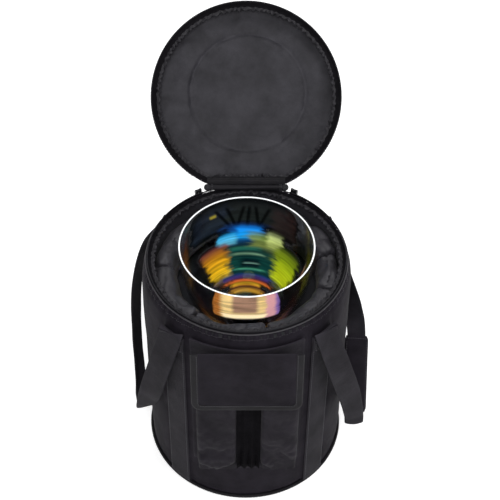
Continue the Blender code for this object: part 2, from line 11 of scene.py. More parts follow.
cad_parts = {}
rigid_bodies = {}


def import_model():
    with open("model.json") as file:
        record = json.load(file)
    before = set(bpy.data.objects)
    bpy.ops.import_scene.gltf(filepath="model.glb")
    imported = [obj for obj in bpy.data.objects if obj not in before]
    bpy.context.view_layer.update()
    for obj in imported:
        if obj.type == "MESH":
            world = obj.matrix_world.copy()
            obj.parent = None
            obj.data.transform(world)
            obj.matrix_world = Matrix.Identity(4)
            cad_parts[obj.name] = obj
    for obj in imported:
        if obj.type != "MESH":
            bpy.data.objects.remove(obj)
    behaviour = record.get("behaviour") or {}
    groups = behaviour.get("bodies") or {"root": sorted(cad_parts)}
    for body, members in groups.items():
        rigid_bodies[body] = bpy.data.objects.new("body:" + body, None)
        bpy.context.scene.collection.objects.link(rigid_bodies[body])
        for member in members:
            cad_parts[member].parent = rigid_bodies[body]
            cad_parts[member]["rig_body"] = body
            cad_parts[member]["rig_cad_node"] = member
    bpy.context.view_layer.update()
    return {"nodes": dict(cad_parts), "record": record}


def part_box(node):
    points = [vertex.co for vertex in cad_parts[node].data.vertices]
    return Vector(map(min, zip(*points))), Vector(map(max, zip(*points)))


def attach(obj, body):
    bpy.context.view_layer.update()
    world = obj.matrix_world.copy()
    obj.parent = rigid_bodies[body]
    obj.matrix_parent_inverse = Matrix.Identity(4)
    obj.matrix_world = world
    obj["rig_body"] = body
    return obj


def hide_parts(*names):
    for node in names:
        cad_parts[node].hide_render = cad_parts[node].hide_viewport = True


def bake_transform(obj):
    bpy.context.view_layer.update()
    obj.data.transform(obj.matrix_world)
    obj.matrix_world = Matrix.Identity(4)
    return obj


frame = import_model()

# Dimensions shared with the CAD, in metres and degrees
H = 0.4045
HINGE = np.array([0.0, 0.1385, 0.4100])
LID_OPENING = 135.0
LID_RADIUS = 0.1465
LID_FLAT_Y = 0.1325
SKIRT_LOW = H + 0.0133
SKIRT_HIGH = SKIRT_LOW + 0.032
BOWL_RIM = H + 0.0234
BOWL_RADIUS = 0.0997
BOWL_DEPTH = 0.148
BOWL_WALL = 0.0032
STEM_END = BOWL_RIM - 0.335
FLAP_PIVOT = (0.0, -0.1600, 0.3795)
FLAP_LEAN = math.radians(7.3)
BAND_TOP = 0.3715
WALL = (
    (0.0, 0.1543), (0.03, 0.1555), (0.12, 0.156), (H - 0.039, 0.156),
    (H - 0.0187, 0.1537), (H - 0.0078, 0.1509), (H, 0.148),
)
BANDS = {"front_right": -46.5, "front_left": -132.1, "rear_right": 42.5, "rear_left": 137.5}
BAND_HALF = 7.3
ZIP_START = 117.0
ZIP_SWEEP = 306.0
LID_ZIP_START = 124.0
LID_ZIP_SWEEP = 292.0
SLIDERS = (("left", 119.5), ("right", 60.5))  # name and the angle where each is parked
POUCHES = (("left", -0.0745, -0.0155), ("right", 0.0215, 0.0775))  # name, left and right side
POUCH_LOW = 0.0955
POUCH_HIGH = 0.285
POUCH_FRONT = -0.168
PAD_COUNT = 7
PAD_OUTER = 0.1388
HINGE_ROLL = 0.0041
GRIP_START = (0.1704, -0.0800, 0.1210)
GRIP_END = (0.1779, 0.0300, 0.1790)
WEB_WIDTH = 0.040

# Dimensions of the visual model alone, in metres and degrees
COIL_RADIUS = 0.1455
COIL_SIZE = 0.00085
COIL_LOWER_Z = H + 0.0043
COIL_UPPER_Z = H + 0.0088
RUFFLE_WAVES = 60
HINGE_HALF = 0.058
STUD_X = 0.0595
STRIP_HALF = 0.060
SLIDER_RADIUS = 0.1491
SLIDER_TURN = 4.0
TAB_DROP = 0.027
PAD_SWELL = 0.006
PAD_PRESSURE = 4.0
PAD_FRAMES = 20
POUCH_CORNER = 0.007
PLEAT = (-0.0145, 0.0205)
PANEL_TOP = 0.3822
BAND_FACE = 0.1567
WEB_THICK = 0.0023
BASE_CORD = (0.1554, 0.0042, 0.0028)  # radius of the ring, height, radius of the cord
LINING_FLOOR = 0.0158
LINING_GAP = 0.0118
LID_CIRCLE = (0.003, -0.008, 0.0895)  # the ring pressed into the lid's lining: centre x, y and radius
GRIP_HALF = 0.0187
GRIP_THICK = 0.0100


# ---------------------------------------------------------------- shape helpers

def wobble(x, y, z, size, seed=0.0):
    """Smooth noise between about -1 and 1 that changes over the given size in metres."""
    return noise.noise(Vector((x / size + seed, y / size - seed, z / size + 0.37 * seed)))


def crease(x, y, z, size, seed=0.0):
    """Sharp-edged folds: 1 on a crease, falling to 0 between creases."""
    return max(0.0, 1.0 - 3.2 * abs(wobble(x, y, z, size, seed)))


def ease(value, low, high):
    """0 below low, 1 above high and a smooth rise between; the other way round if low is above high."""
    t = min(1.0, max(0.0, (value - low) / (high - low)))
    return t * t * (3.0 - 2.0 * t)


def turns(number):
    """Angles round a whole turn, in radians."""
    return [2 * math.pi * k / number for k in range(number)]


def ring(radius, z, wide, tall, sides):
    """A closed (radius, height) outline of a cord that runs round the bag's axis."""
    return [(radius + wide * math.cos(t), z + tall * math.sin(t)) for t in turns(sides)]


def squared(value, power):
    """A cosine or sine flattened towards its ends, which squares up a round section."""
    return math.copysign(abs(value) ** power, value)


def polar(radius, degrees, z):
    angle = math.radians(degrees)
    return (radius * math.cos(angle), radius * math.sin(angle), z)


def wall_radius(z):
    """The bag's outer radius at a height."""
    return float(np.interp(z, [w[0] for w in WALL], [w[1] for w in WALL]))


def open_lid(points):
    """Turn points drawn with the lid shut to where the open lid holds them."""
    angle = math.radians(-LID_OPENING)
    c, s = math.cos(angle), math.sin(angle)
    p = np.asarray(points, float) - HINGE
    turned = np.stack([p[..., 0], p[..., 1] * c - p[..., 2] * s, p[..., 1] * s + p[..., 2] * c], -1)
    return turned + HINGE


def finish_piece(obj, look, body, stands_for, sharp=50.0):
    """Give a new piece its material, shading, body and CAD nodes."""
    obj.data.materials.clear()
    obj.data.materials.append(look)
    obj.data.shade_smooth()
    obj.data.set_sharp_from_angle(angle=math.radians(sharp))
    if body:
        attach(obj, body)
    if stands_for:
        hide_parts(*stands_for)
    return obj


def make_mesh(name, verts, faces, uvs):
    """A linked mesh object with outward faces and a UV map in metres."""
    mesh = bpy.data.meshes.new(name)
    mesh.from_pydata([tuple(v) for v in verts], [], faces)
    layer = mesh.uv_layers.new(name="metres")
    layer.data.foreach_set("uv", np.asarray(uvs, np.float32).ravel())
    bm = bmesh.new()
    bm.from_mesh(mesh)
    bmesh.ops.recalc_face_normals(bm, faces=bm.faces)
    bm.to_mesh(mesh)
    bm.free()
    obj = bpy.data.objects.new(name, mesh)
    bpy.context.scene.collection.objects.link(obj)
    return obj


def grid(name, points, look, body, wrap_u=False, wrap_v=False, caps="", stands_for=(), slot=None,
         sharp=50.0):
    """A surface through rows of points, closed round either way and capped at the ends of u or v."""
    rows = np.asarray(points, float)
    nu, nv = rows.shape[:2]
    along = np.linalg.norm(np.roll(rows, -1, 0) - rows, axis=2).mean(1)
    across = np.linalg.norm(np.roll(rows, -1, 1) - rows, axis=2).mean(0)
    u = np.concatenate([[0.0], np.cumsum(along)])
    v = np.concatenate([[0.0], np.cumsum(across)])
    across_u, across_v = nu - (not wrap_u), nv - (not wrap_v)
    i, j = np.meshgrid(np.arange(across_u), np.arange(across_v), indexing="ij")
    i2 = (i + 1) % nu
    j2 = (j + 1) % nv
    faces = np.stack([i * nv + j, i2 * nv + j, i2 * nv + j2, i * nv + j2], -1).reshape(-1, 4).tolist()
    corners = [(i, j), (i + 1, j), (i + 1, j + 1), (i, j + 1)]
    uvs = np.stack([np.stack([u[a], v[b]], -1) for a, b in corners], 2).reshape(-1, 2)
    ends = []
    if caps == "u":
        ends = [list(range(nv)), [(nu - 1) * nv + k for k in range(nv)]]
    elif caps == "v":
        ends = [[k * nv for k in range(nu)], [k * nv + nv - 1 for k in range(nu)]]
    flat = rows.reshape(-1, 3)
    for end in ends:
        faces.append(end)
        uvs = np.concatenate([uvs, flat[end][:, :2]])
    obj = make_mesh(name, flat, faces, uvs)
    return finish_piece(obj, look, body, stands_for, sharp)


def two_tone(obj, look, columns, plain):
    """Give the faces in some columns of a grid a second look."""
    obj.data.materials.append(look)
    for face in obj.data.polygons:
        if face.index % columns in plain:
            face.material_index = 1


def lathe(name, profile, look, body, start=0.0, sweep=360.0, steps=192, change=None, **more):
    """Turn a closed (radius, height) outline about the bag's axis; change moves each (r, angle, z)."""
    whole = sweep >= 360.0
    rows = []
    for i in range(steps if whole else steps + 1):
        angle = start + sweep * i / steps
        row = []
        for r, z in profile:
            if change:
                r, z = change(r, angle, z)
            row.append(polar(r, angle, z))
        rows.append(row)
    return grid(name, rows, look, body, wrap_u=whole, wrap_v=True, caps="" if whole else "u", **more)


def round_section(width, depth, corner=4):
    """A closed rounded-rectangle section as (across, out) pairs."""
    radius = 0.49 * depth
    half = 0.5 * width - radius
    points = [(half * (1 - 2 * k / 9.0), 0.5 * depth) for k in range(10)]
    for k in range(1, corner):
        t = math.pi * k / corner
        points.append((-half - radius * math.sin(t), radius * math.cos(t)))
    points += [(-half * (1 - 2 * k / 9.0), -0.5 * depth) for k in range(10)]
    for k in range(1, corner):
        t = math.pi * k / corner
        points.append((half + radius * math.sin(t), -radius * math.cos(t)))
    return points


def curve_through(points, samples):
    """Even samples of a Catmull-Rom curve through rows of numbers."""
    rows = np.asarray(points, float)
    padded = np.concatenate([[2 * rows[0] - rows[1]], rows, [2 * rows[-1] - rows[-2]]])
    spans = len(rows) - 1
    made = []
    for i in range(samples + 1):
        place = spans * i / samples
        k = min(int(place), spans - 1)
        t = place - k
        a, b, c, d = padded[k:k + 4]
        made.append(0.5 * (2 * b + (c - a) * t + (2 * a - 5 * b + 4 * c - d) * t * t
                           + (3 * b - a - 3 * c + d) * t ** 3))
    return np.array(made)


def unit(v):
    return v / max(1e-9, np.linalg.norm(v))


def sweep(name, path, sides, section, look, body, **more):
    """Carry a section along an open path, its across direction given for each point."""
    path = np.asarray(path, float)
    last = len(path) - 1
    rows = []
    for i, (point, side) in enumerate(zip(path, sides)):
        along = unit(path[min(i + 1, last)] - path[max(i - 1, 0)])
        across = unit(side - along * np.dot(side, along))
        out = np.cross(along, across)
        rows.append([point + across * w + out * d for w, d in section])
    return grid(name, rows, look, body, wrap_v=True, caps="u", **more)


def at_length(place, run, rows):
    """The row of numbers at a length along a line whose points lie at the lengths in run."""
    return np.array([np.interp(place, run, rows[:, c]) for c in range(3)])


def stitches(name, lines, look, body, length=0.0030, gap=0.0016, thick=0.00045, **more):
    """Rows of sewn thread: each line is (points, outward directions)."""
    verts, faces, uvs = [], [], []
    for points, outs in lines:
        points = np.asarray(points, float)
        outs = np.asarray(outs, float)
        if outs.ndim == 1:
            outs = np.tile(outs, (len(points), 1))
        run = np.concatenate([[0.0], np.cumsum(np.linalg.norm(np.diff(points, axis=0), axis=1))])
        number = int(run[-1] / (length + gap))
        for k in range(number):
            a = k * (length + gap) + 0.5 * gap
            head, mid, tail = (at_length(a + length * share, run, points) for share in (0.0, 0.5, 1.0))
            out = unit(at_length(a, run, outs))
            along = unit(tail - head)
            across = np.cross(along, out)
            first = len(verts)
            for p, rise, size in ((head, -0.2, 0.35), (mid, 0.75, 1.0), (tail, -0.2, 0.35)):
                for t in (45, 135, 225, 315):
                    c, s = math.cos(math.radians(t)), math.sin(math.radians(t))
                    verts.append(p + thick * (across * c * size + out * (s * size * 0.7 + rise)))
            for low in (first, first + 4):
                for q in range(4):
                    w = (q + 1) % 4
                    faces.append([low + q, low + w, low + 4 + w, low + 4 + q])
            faces.append([first, first + 1, first + 2, first + 3])
            faces.append([first + 8, first + 9, first + 10, first + 11])
            for face in faces[-10:]:
                uvs += [(0.001 * (f - first), 0.0005 * (f % 3)) for f in face]
    obj = make_mesh(name, verts, faces, uvs)
    return finish_piece(obj, look, body, ())


# ---------------------------------------------------------------- materials

class Look:
    """A material being wired: add() makes a node and fills its inputs from values or sockets."""

    def __init__(self, name):
        self.material = bpy.data.materials.new(name)
        self.material.use_nodes = True
        self.tree = self.material.node_tree
        self.shader = self.tree.nodes["Principled BSDF"]

    def add(self, kind, inputs=None, **settings):
        node = self.tree.nodes.new(kind)
        for key, value in settings.items():
            setattr(node, key, value)
        for key, value in (inputs or {}).items():
            self.put(node.inputs[key], value)
        return node

    def put(self, socket, value):
        if isinstance(value, bpy.types.NodeSocket):
            self.tree.links.new(value, socket)
        else:
            socket.default_value = value

    def set(self, **values):
        for key, value in values.items():
            self.put(self.shader.inputs[key.replace("_", " ")], value)

    def ramp(self, factor, stops):
        node = self.add("ShaderNodeValToRGB", {0: factor})
        while len(node.color_ramp.elements) < len(stops):
            node.color_ramp.elements.new(0.5)
        for element, (place, colour) in zip(node.color_ramp.elements, stops):
            element.position = place
            element.color = (*colour, 1.0)
        return node.outputs[0]

    def remap(self, value, low, high):
        return self.add("ShaderNodeMapRange", {0: value, 3: low, 4: high}).outputs[0]

    def maths(self, operation, a, b):
        return self.add("ShaderNodeMath", {0: a, 1: b}, operation=operation).outputs[0]


def cloth(name, colour, rough=(0.7, 0.92), thread=0.0007, ribs=None, weave=0.35, crumple=0.0,
          sheen=0.06, specular=0.3, use_uv=True):
    """Woven cloth: crossed threads or ribs, fine fibres, uneven dye, faded high spots and soft crumples."""
    look = Look(name)
    coords = look.add("ShaderNodeTexCoord")
    place = look.add("ShaderNodeUVMap", uv_map="metres").outputs[0] if use_uv else coords.outputs["Object"]
    solid = coords.outputs["Object"]
    warp = look.add("ShaderNodeTexWave", {"Vector": place, "Scale": 0.314 / thread, "Distortion": 0.4},
                    wave_type="BANDS", bands_direction="X").outputs["Fac"]
    rib_scale = 0.314 / (ribs or thread)
    weft = look.add("ShaderNodeTexWave", {"Vector": place, "Scale": rib_scale, "Distortion": 0.3},
                    wave_type="BANDS", bands_direction="Y").outputs["Fac"]
    threads = look.maths("MULTIPLY", warp, weft) if not ribs else look.maths(
        "MULTIPLY_ADD", warp, 0.25)
    if ribs:
        look.put(threads.node.inputs[2], weft)
    fibres = look.add("ShaderNodeTexNoise", {"Vector": solid, "Scale": 1500.0, "Detail": 2.0}).outputs["Fac"]
    blotches = look.add("ShaderNodeTexNoise", {"Vector": solid, "Scale": 26.0, "Detail": 5.0,
                                               "Roughness": 0.62}).outputs["Fac"]
    dye = look.ramp(blotches, [(0.3, [c * 0.72 for c in colour]), (0.72, [c * 1.45 for c in colour])])
    point = look.add("ShaderNodeNewGeometry").outputs["Pointiness"]
    worn = look.ramp(point, [(0.5, (0, 0, 0)), (0.62, (1, 1, 1))])
    pale = [min(1.0, c * 2.6 + 0.006) for c in colour]
    base = look.add("ShaderNodeMix", {0: look.maths("MULTIPLY", worn, 0.45)}, data_type="RGBA")
    look.put(base.inputs[6], dye)
    look.put(base.inputs[7], (*pale, 1.0))
    shade = look.add("ShaderNodeMix", data_type="RGBA", blend_type="MULTIPLY")
    look.put(shade.inputs[0], 0.5)
    look.put(shade.inputs[6], base.outputs[2])
    grey = look.ramp(threads, [(0.0, (0.45, 0.45, 0.45)), (0.6, (1, 1, 1))])
    look.put(shade.inputs[7], grey)
    look.set(Base_Color=shade.outputs[2], Roughness=look.remap(blotches, rough[1], rough[0]),
             Specular_IOR_Level=specular, Sheen_Weight=sheen, Sheen_Roughness=0.45)
    height = look.maths("MULTIPLY_ADD", fibres, 0.25)
    look.put(height.node.inputs[2], threads)
    fine = look.add("ShaderNodeBump", {"Strength": weave, "Distance": 0.25 * thread, "Height": height})
    if crumple:
        folds = look.add("ShaderNodeTexNoise", {"Vector": solid, "Scale": 42.0, "Detail": 4.0,
                                                "Distortion": 0.8}).outputs["Fac"]
        rough_bump = look.add("ShaderNodeBump", {"Strength": crumple, "Distance": 0.004, "Height": folds})
        look.put(fine.inputs["Normal"], rough_bump.outputs[0])
    look.set(Normal=fine.outputs[0])
    return look.material


def hard(name, colour, rough, metallic=0.0, grain=300.0, bump=0.05, specular=0.5):
    """Moulded plastic, foam or painted metal with fine grain, scuffs and uneven gloss."""
    look = Look(name)
    solid = look.add("ShaderNodeTexCoord").outputs["Object"]
    small = look.add("ShaderNodeTexNoise", {"Vector": solid, "Scale": grain, "Detail": 3.0}).outputs["Fac"]
    large = look.add("ShaderNodeTexNoise", {"Vector": solid, "Scale": 40.0, "Detail": 4.0}).outputs["Fac"]
    tone = look.ramp(large, [(0.3, [c * 0.8 for c in colour]), (0.7, [c * 1.3 for c in colour])])
    look.set(Base_Color=tone, Roughness=look.remap(large, rough + 0.1, max(0.05, rough - 0.1)),
             Metallic=metallic, Specular_IOR_Level=specular)
    ridge = look.add("ShaderNodeBump", {"Strength": bump, "Distance": 0.0005, "Height": small})
    look.set(Normal=ridge.outputs[0])
    return look.material


def crystal_look():
    """Clear polished quartz; painted reflections (iridescent colours, highlights and dark see-through marks)
    come from the mesh's colour attribute, tint the glass and glow through its emission.
    """
    look = Look("crystal_painted_reflections")
    painted_reflection = look.add("ShaderNodeAttribute", attribute_name="painted_reflection")
    solid = look.add("ShaderNodeTexCoord").outputs["Object"]
    ripple = look.add("ShaderNodeTexNoise", {"Vector": solid, "Scale": 38.0, "Detail": 2.0}).outputs["Fac"]
    tint = look.add("ShaderNodeMix", data_type="RGBA")
    look.put(tint.inputs[0], look.add("ShaderNodeMapRange", {0: painted_reflection.outputs["Alpha"], 2: 0.15}).outputs[0])
    look.put(tint.inputs[6], (0.74, 0.76, 0.80, 1.0))
    look.put(tint.inputs[7], painted_reflection.outputs["Color"])
    # The painted reflections glow: their colour is emitted, with their cover as the strength
    look.set(Base_Color=tint.outputs[2], Emission_Color=painted_reflection.outputs["Color"],
             Emission_Strength=painted_reflection.outputs["Alpha"])
    clear = look.maths("SUBTRACT", 1.0, look.maths("MULTIPLY", painted_reflection.outputs["Alpha"], 0.85))
    look.set(Transmission_Weight=clear, Roughness=look.remap(ripple, 0.02, 0.07), IOR=1.045,
             Specular_IOR_Level=0.3, Thin_Film_Thickness=380.0, Thin_Film_IOR=1.08)
    bump = look.add("ShaderNodeBump", {"Strength": 0.06, "Distance": 0.002, "Height": ripple})
    look.set(Normal=bump.outputs[0])
    return look.material


LOOKS = {
    "shell": cloth("nylon_shell", (0.0125, 0.0104, 0.0148), thread=0.0008, crumple=0.15, sheen=0.01,
                   specular=0.06),
    "panel": cloth("nylon_pocket", (0.0112, 0.0094, 0.0134), thread=0.0008, crumple=0.35, sheen=0.02,
                   specular=0.10),
    # painted shade: a much darker copy of the pocket nylon for the pleat, standing for the shade inside its
    # deep fold
    "pleat_painted_shade": cloth("nylon_painted_shade", (0.0030, 0.0026, 0.0036), thread=0.0008, crumple=0.3, sheen=0.0,
                    specular=0.03),
    "lining": cloth("nylon_lining", (0.0250, 0.0238, 0.0292), rough=(0.5, 0.72), thread=0.0005, crumple=0.4,
                    sheen=0.03, specular=0.20),
    "pad": cloth("nylon_pad", (0.0275, 0.0260, 0.0310), rough=(0.42, 0.6), thread=0.0006, crumple=0.45,
                 sheen=0.02, specular=0.34, use_uv=False),
    "binding": cloth("ribbed_binding", (0.0065, 0.0059, 0.0076), rough=(0.45, 0.7), thread=0.0006,
                     ribs=0.0011, weave=0.8, crumple=0.3, sheen=0.01, specular=0.14),
    # painted highlight: the gathered binding is a lighter copy of the ribbed binding cloth, standing for the
    # light its beaded hems catch
    "ruffle": cloth("gathered_binding_painted_highlight", (0.0125, 0.0115, 0.0145), rough=(0.4, 0.62), thread=0.0006, ribs=0.0011,
                    weave=0.8, crumple=0.4, sheen=0.02, specular=0.26),
    "edging": cloth("seam_cord", (0.026, 0.0245, 0.028), rough=(0.4, 0.6), thread=0.0005, ribs=0.0008,
                    weave=0.8, sheen=0.02, specular=0.30),
    "tape": cloth("zip_tape", (0.0045, 0.0041, 0.0052), thread=0.0006, ribs=0.0009, weave=0.5, sheen=0.0,
                  specular=0.05),
    "webbing": cloth("ribbed_webbing", (0.0148, 0.0134, 0.0170), thread=0.0011, ribs=0.0017, weave=1.0,
                     crumple=0.15, sheen=0.01, specular=0.10),
    "thread": cloth("sewing_thread", (0.050, 0.048, 0.055), thread=0.0003, weave=0.4, specular=0.3),
    "hook": cloth("hook_tape", (0.0060, 0.0055, 0.0068), thread=0.0009, weave=1.0, crumple=0.3, specular=0.1),
    "foam": hard("dark_foam", (0.016, 0.016, 0.018), 0.9, grain=700.0, bump=0.6, specular=0.1),
    "board": hard("board", (0.05, 0.05, 0.055), 0.6),
    "coil": hard("zip_coil", (0.014, 0.0135, 0.016), 0.45, grain=900.0, bump=0.1, specular=0.10),
    "slider": hard("painted_metal", (0.02, 0.02, 0.022), 0.32, metallic=0.75, grain=500.0, bump=0.08),
    "crystal": crystal_look(),
}
CAD_LOOKS = {"foam": "foam", "board": "board"}


def dress_cad_nodes():
    """Give the CAD nodes that stay in view, or inside, their real materials."""
    slots = {row["node"]: row["material_slot"] for row in frame["record"]["subparts"]}
    for name, node in frame["nodes"].items():
        look = LOOKS.get(CAD_LOOKS.get(slots.get(name), "panel"))
        node.data.materials.clear()
        node.data.materials.append(look)


# ---------------------------------------------------------------- the bag

def near_band(angle, margin=2.0):
    """1 under a sewn band, falling to 0 beside it."""
    best = 0.0
    for middle in BANDS.values():
        away = abs((angle - middle + 180.0) % 360.0 - 180.0)
        best = max(best, 1.0 - ease(away, BAND_HALF, BAND_HALF + margin))
    return best


def wall_shape(r, angle, z):
    """Dents, pulled seams beside the bands, and the pucker under the rim's seam."""
    x, y, _ = polar(0.15, angle, z)
    inward = 0.0011 * (0.55 + wobble(x, y, z, 0.075, 3.1))
    inward += 0.0007 * crease(x, y, z * 0.35, 0.055, 8.2) * ease(z, 0.02, 0.09)
    inward += 0.0006 * ease(z, 0.05, 0.012) * (1 + wobble(x, y, 0.0, 0.012, 5.0))
    edge = near_band(angle, 4.5) - near_band(angle, 0.6)
    inward += 0.0009 * max(0.0, edge)
    inward *= 1.0 - 0.75 * near_band(angle, 1.0)
    gather = ease(z, H - 0.017, H - 0.004) * ease(z, H + 0.0005, H - 0.003)
    ripple = math.sin(math.radians(angle) * 86 + 3.0 * wobble(x, y, 0.0, 0.03, 1.7))
    front = 0.45 + 0.55 * ease(math.sin(math.radians(angle)), 0.2, -0.8)
    inward += gather * front * (0.0014 * ripple + 0.0010)
    return r - max(-0.0002, inward), z


def make_walls():
    """Outer wall, inner lining, base and base piping."""
    heights = list(np.linspace(0.0075, H - 0.035, 52)) + list(np.linspace(H - 0.032, H - 0.0014, 22))
    outer = [(wall_radius(z), z) for z in heights]
    inner = [(wall_radius(z) - 0.002, z) for z in (H - 0.0014, H - 0.02, H - 0.05, 0.2, 0.03, 0.0075)]
    lathe("wall_cloth", outer + inner, LOOKS["shell"], "bag", steps=320, change=wall_shape,
          stands_for=("body_shell",), slot="shell")

    floor = LINING_FLOOR
    cup = [(r, floor + 0.0012) for r in np.linspace(0.001, 0.136, 8)]
    tall = list(np.linspace(floor + 0.004, 0.30, 10)) + list(np.linspace(0.31, H - 0.005, 26))
    cup += [(wall_radius(z) - LINING_GAP, z) for z in tall]
    back = [(wall_radius(z) - 0.0106, z) for z in (H - 0.005, 0.3, 0.03, floor)] + [(0.001, floor)]

    def lining_shape(r, angle, z):
        if r < 0.13 or z < 0.02:
            return r, z
        x, y, _ = polar(0.14, angle, z)
        fold = crease(x, y, z * 0.5, 0.03, 4.4) * 0.0016 + 0.0008 * wobble(x, y, z, 0.02, 2.0)
        return r - max(0.0, fold) * ease(z, 0.30, 0.35), z

    lathe("lining_cup", cup + back, LOOKS["lining"], "bag", steps=240, change=lining_shape,
          stands_for=("body_lining",), slot="lining")

    base = [(0.0008, 0.0), (0.05, 0.0), (0.1, 0.0), (0.146, 0.0), (0.1508, 0.0004), (0.152, 0.0011),
            (0.1508, 0.0019), (0.146, 0.0022), (0.05, 0.0022), (0.0008, 0.0022)]
    lathe("base_cloth", base, LOOKS["shell"], "bag", steps=128, stands_for=("base_panel",), slot="shell")
    middle, height, size = BASE_CORD

    def cord_shape(r, angle, z):
        ripple = 0.00012 * math.sin(math.radians(angle) * 210)
        return r + ripple * ((r - middle) / size), z + ripple * ((z - height) / size)

    lathe("base_cord", ring(middle, height, size, size, 14), LOOKS["binding"], "bag", steps=640,
          change=cord_shape, stands_for=("base_piping",), slot="binding")


def gathered(section, waves, lift, pull, seed):
    """A ruffle: its free inner hem moves up, down, in and out while its sewn outer edge stays."""
    reach = max(r for r, _ in section)
    depth = reach - min(r for r, _ in section)

    def change(r, angle, z):
        free = max(0.0, (reach - r) / depth) ** 1.6
        x, y, _ = polar(0.14, angle, 0.0)
        phase = math.radians(angle) * waves + 6.0 * wobble(x, y, 0.0, 0.045, seed)
        size = 0.45 + 1.1 * abs(wobble(x, y, 0.0, 0.022, seed + 2.0))
        return (r + pull * free * size * math.sin(1.7 * phase + 1.0),
                z + lift * free * size * math.sin(phase) - 0.0004 * free)

    return change


def ribbon(inner, outer, low, high, hem=0.0009):
    """A flat closed outline with a thicker rolled hem at its inner side."""
    across = np.linspace(outer, inner, 12)
    swell = [hem * ease(r, inner + 0.0036, inner + 0.0016) * ease(r, inner - 0.0006, inner + 0.0010)
             for r in across]
    top = [(r, high + h) for r, h in zip(across, swell)]
    bottom = [(r, low - 0.4 * h) for r, h in zip(reversed(across), reversed(swell))]
    return top + [(inner - 0.0005, 0.5 * (low + high))] + bottom + [(outer + 0.0002, 0.5 * (low + high))]


def coil_rows(z, start, sweep_by, steps):
    """Rows of a ribbed tube that reads as a nylon zip coil."""
    rows = []
    for i in range(steps + 1):
        angle = start + sweep_by * i / steps
        size = COIL_SIZE * (1.22 if i % 2 else 0.78)
        rows.append([polar(r, angle, height) for r, height in ring(COIL_RADIUS, z, size, size, 6)])
    return rows


def make_rim():
    """The mouth: piped seam, zip tape leaning in, coil, gathered binding inside and the seam's stitches."""
    cord = ring(0.1480, H + 0.0002, 0.0010, 0.0010, 8)

    def cord_shape(r, angle, z):
        x, y, _ = polar(0.148, angle, 0.0)
        return r + 0.0004 * wobble(x, y, 0.0, 0.02, 6.0), z + 0.0004 * wobble(x, y, 0.0, 0.03, 7.0)

    lathe("rim_cord", cord, LOOKS["edging"], "bag", steps=400, change=cord_shape,
          stands_for=("rim_piping",), slot="binding")
    binding = ribbon(0.1352, 0.1462, H - 0.0042, H - 0.0018)
    ruffle = lathe("rim_ruffle", binding, LOOKS["ruffle"], "bag", steps=520,
                   change=gathered(binding, RUFFLE_WAVES, 0.0026, 0.0019, 2.5),
                   stands_for=("rim_binding",), slot="binding")
    # The flat outer columns take the zip tape's own dark cloth; the gathered hem keeps the lighter cloth of
    # the painted highlight
    two_tone(ruffle, LOOKS["tape"], len(binding), set(range(6)) | set(range(20, 26)))
    tape = [(0.1470, H - 0.0016), (0.1478, H - 0.0004), (0.1466, H + 0.0020), (0.1455, H + 0.0033),
            (0.1449, H + 0.0031), (0.1460, H + 0.0014)]

    def tape_shape(r, angle, z):
        x, y, _ = polar(0.146, angle, 0.0)
        return r + 0.0004 * wobble(x, y, 0.0, 0.04, 3.0) * ease(z, H, H + 0.002), z

    lathe("zip_tape_lower", tape, LOOKS["tape"], "bag", start=ZIP_START, sweep=ZIP_SWEEP, steps=300,
          change=tape_shape, stands_for=("zip_tape_body",), slot="binding")
    rows = coil_rows(COIL_LOWER_Z, ZIP_START, ZIP_SWEEP, 960)
    grid("zip_coil_lower", rows, LOOKS["coil"], "bag", wrap_v=True, caps="u",
         stands_for=("zip_coil_body",), slot="zip")
    round_rim = np.arange(0, 360.5, 0.8)
    seam = H - 0.0092
    arc = [polar(wall_shape(wall_radius(seam), a, seam)[0] + 0.0003, a, seam) for a in round_rim]
    stitches("rim_stitches", [(arc, [polar(1.0, a, 0.3) for a in round_rim])], LOOKS["thread"], "bag",
             length=0.0022, gap=0.0016, thick=0.0003, slot="binding")


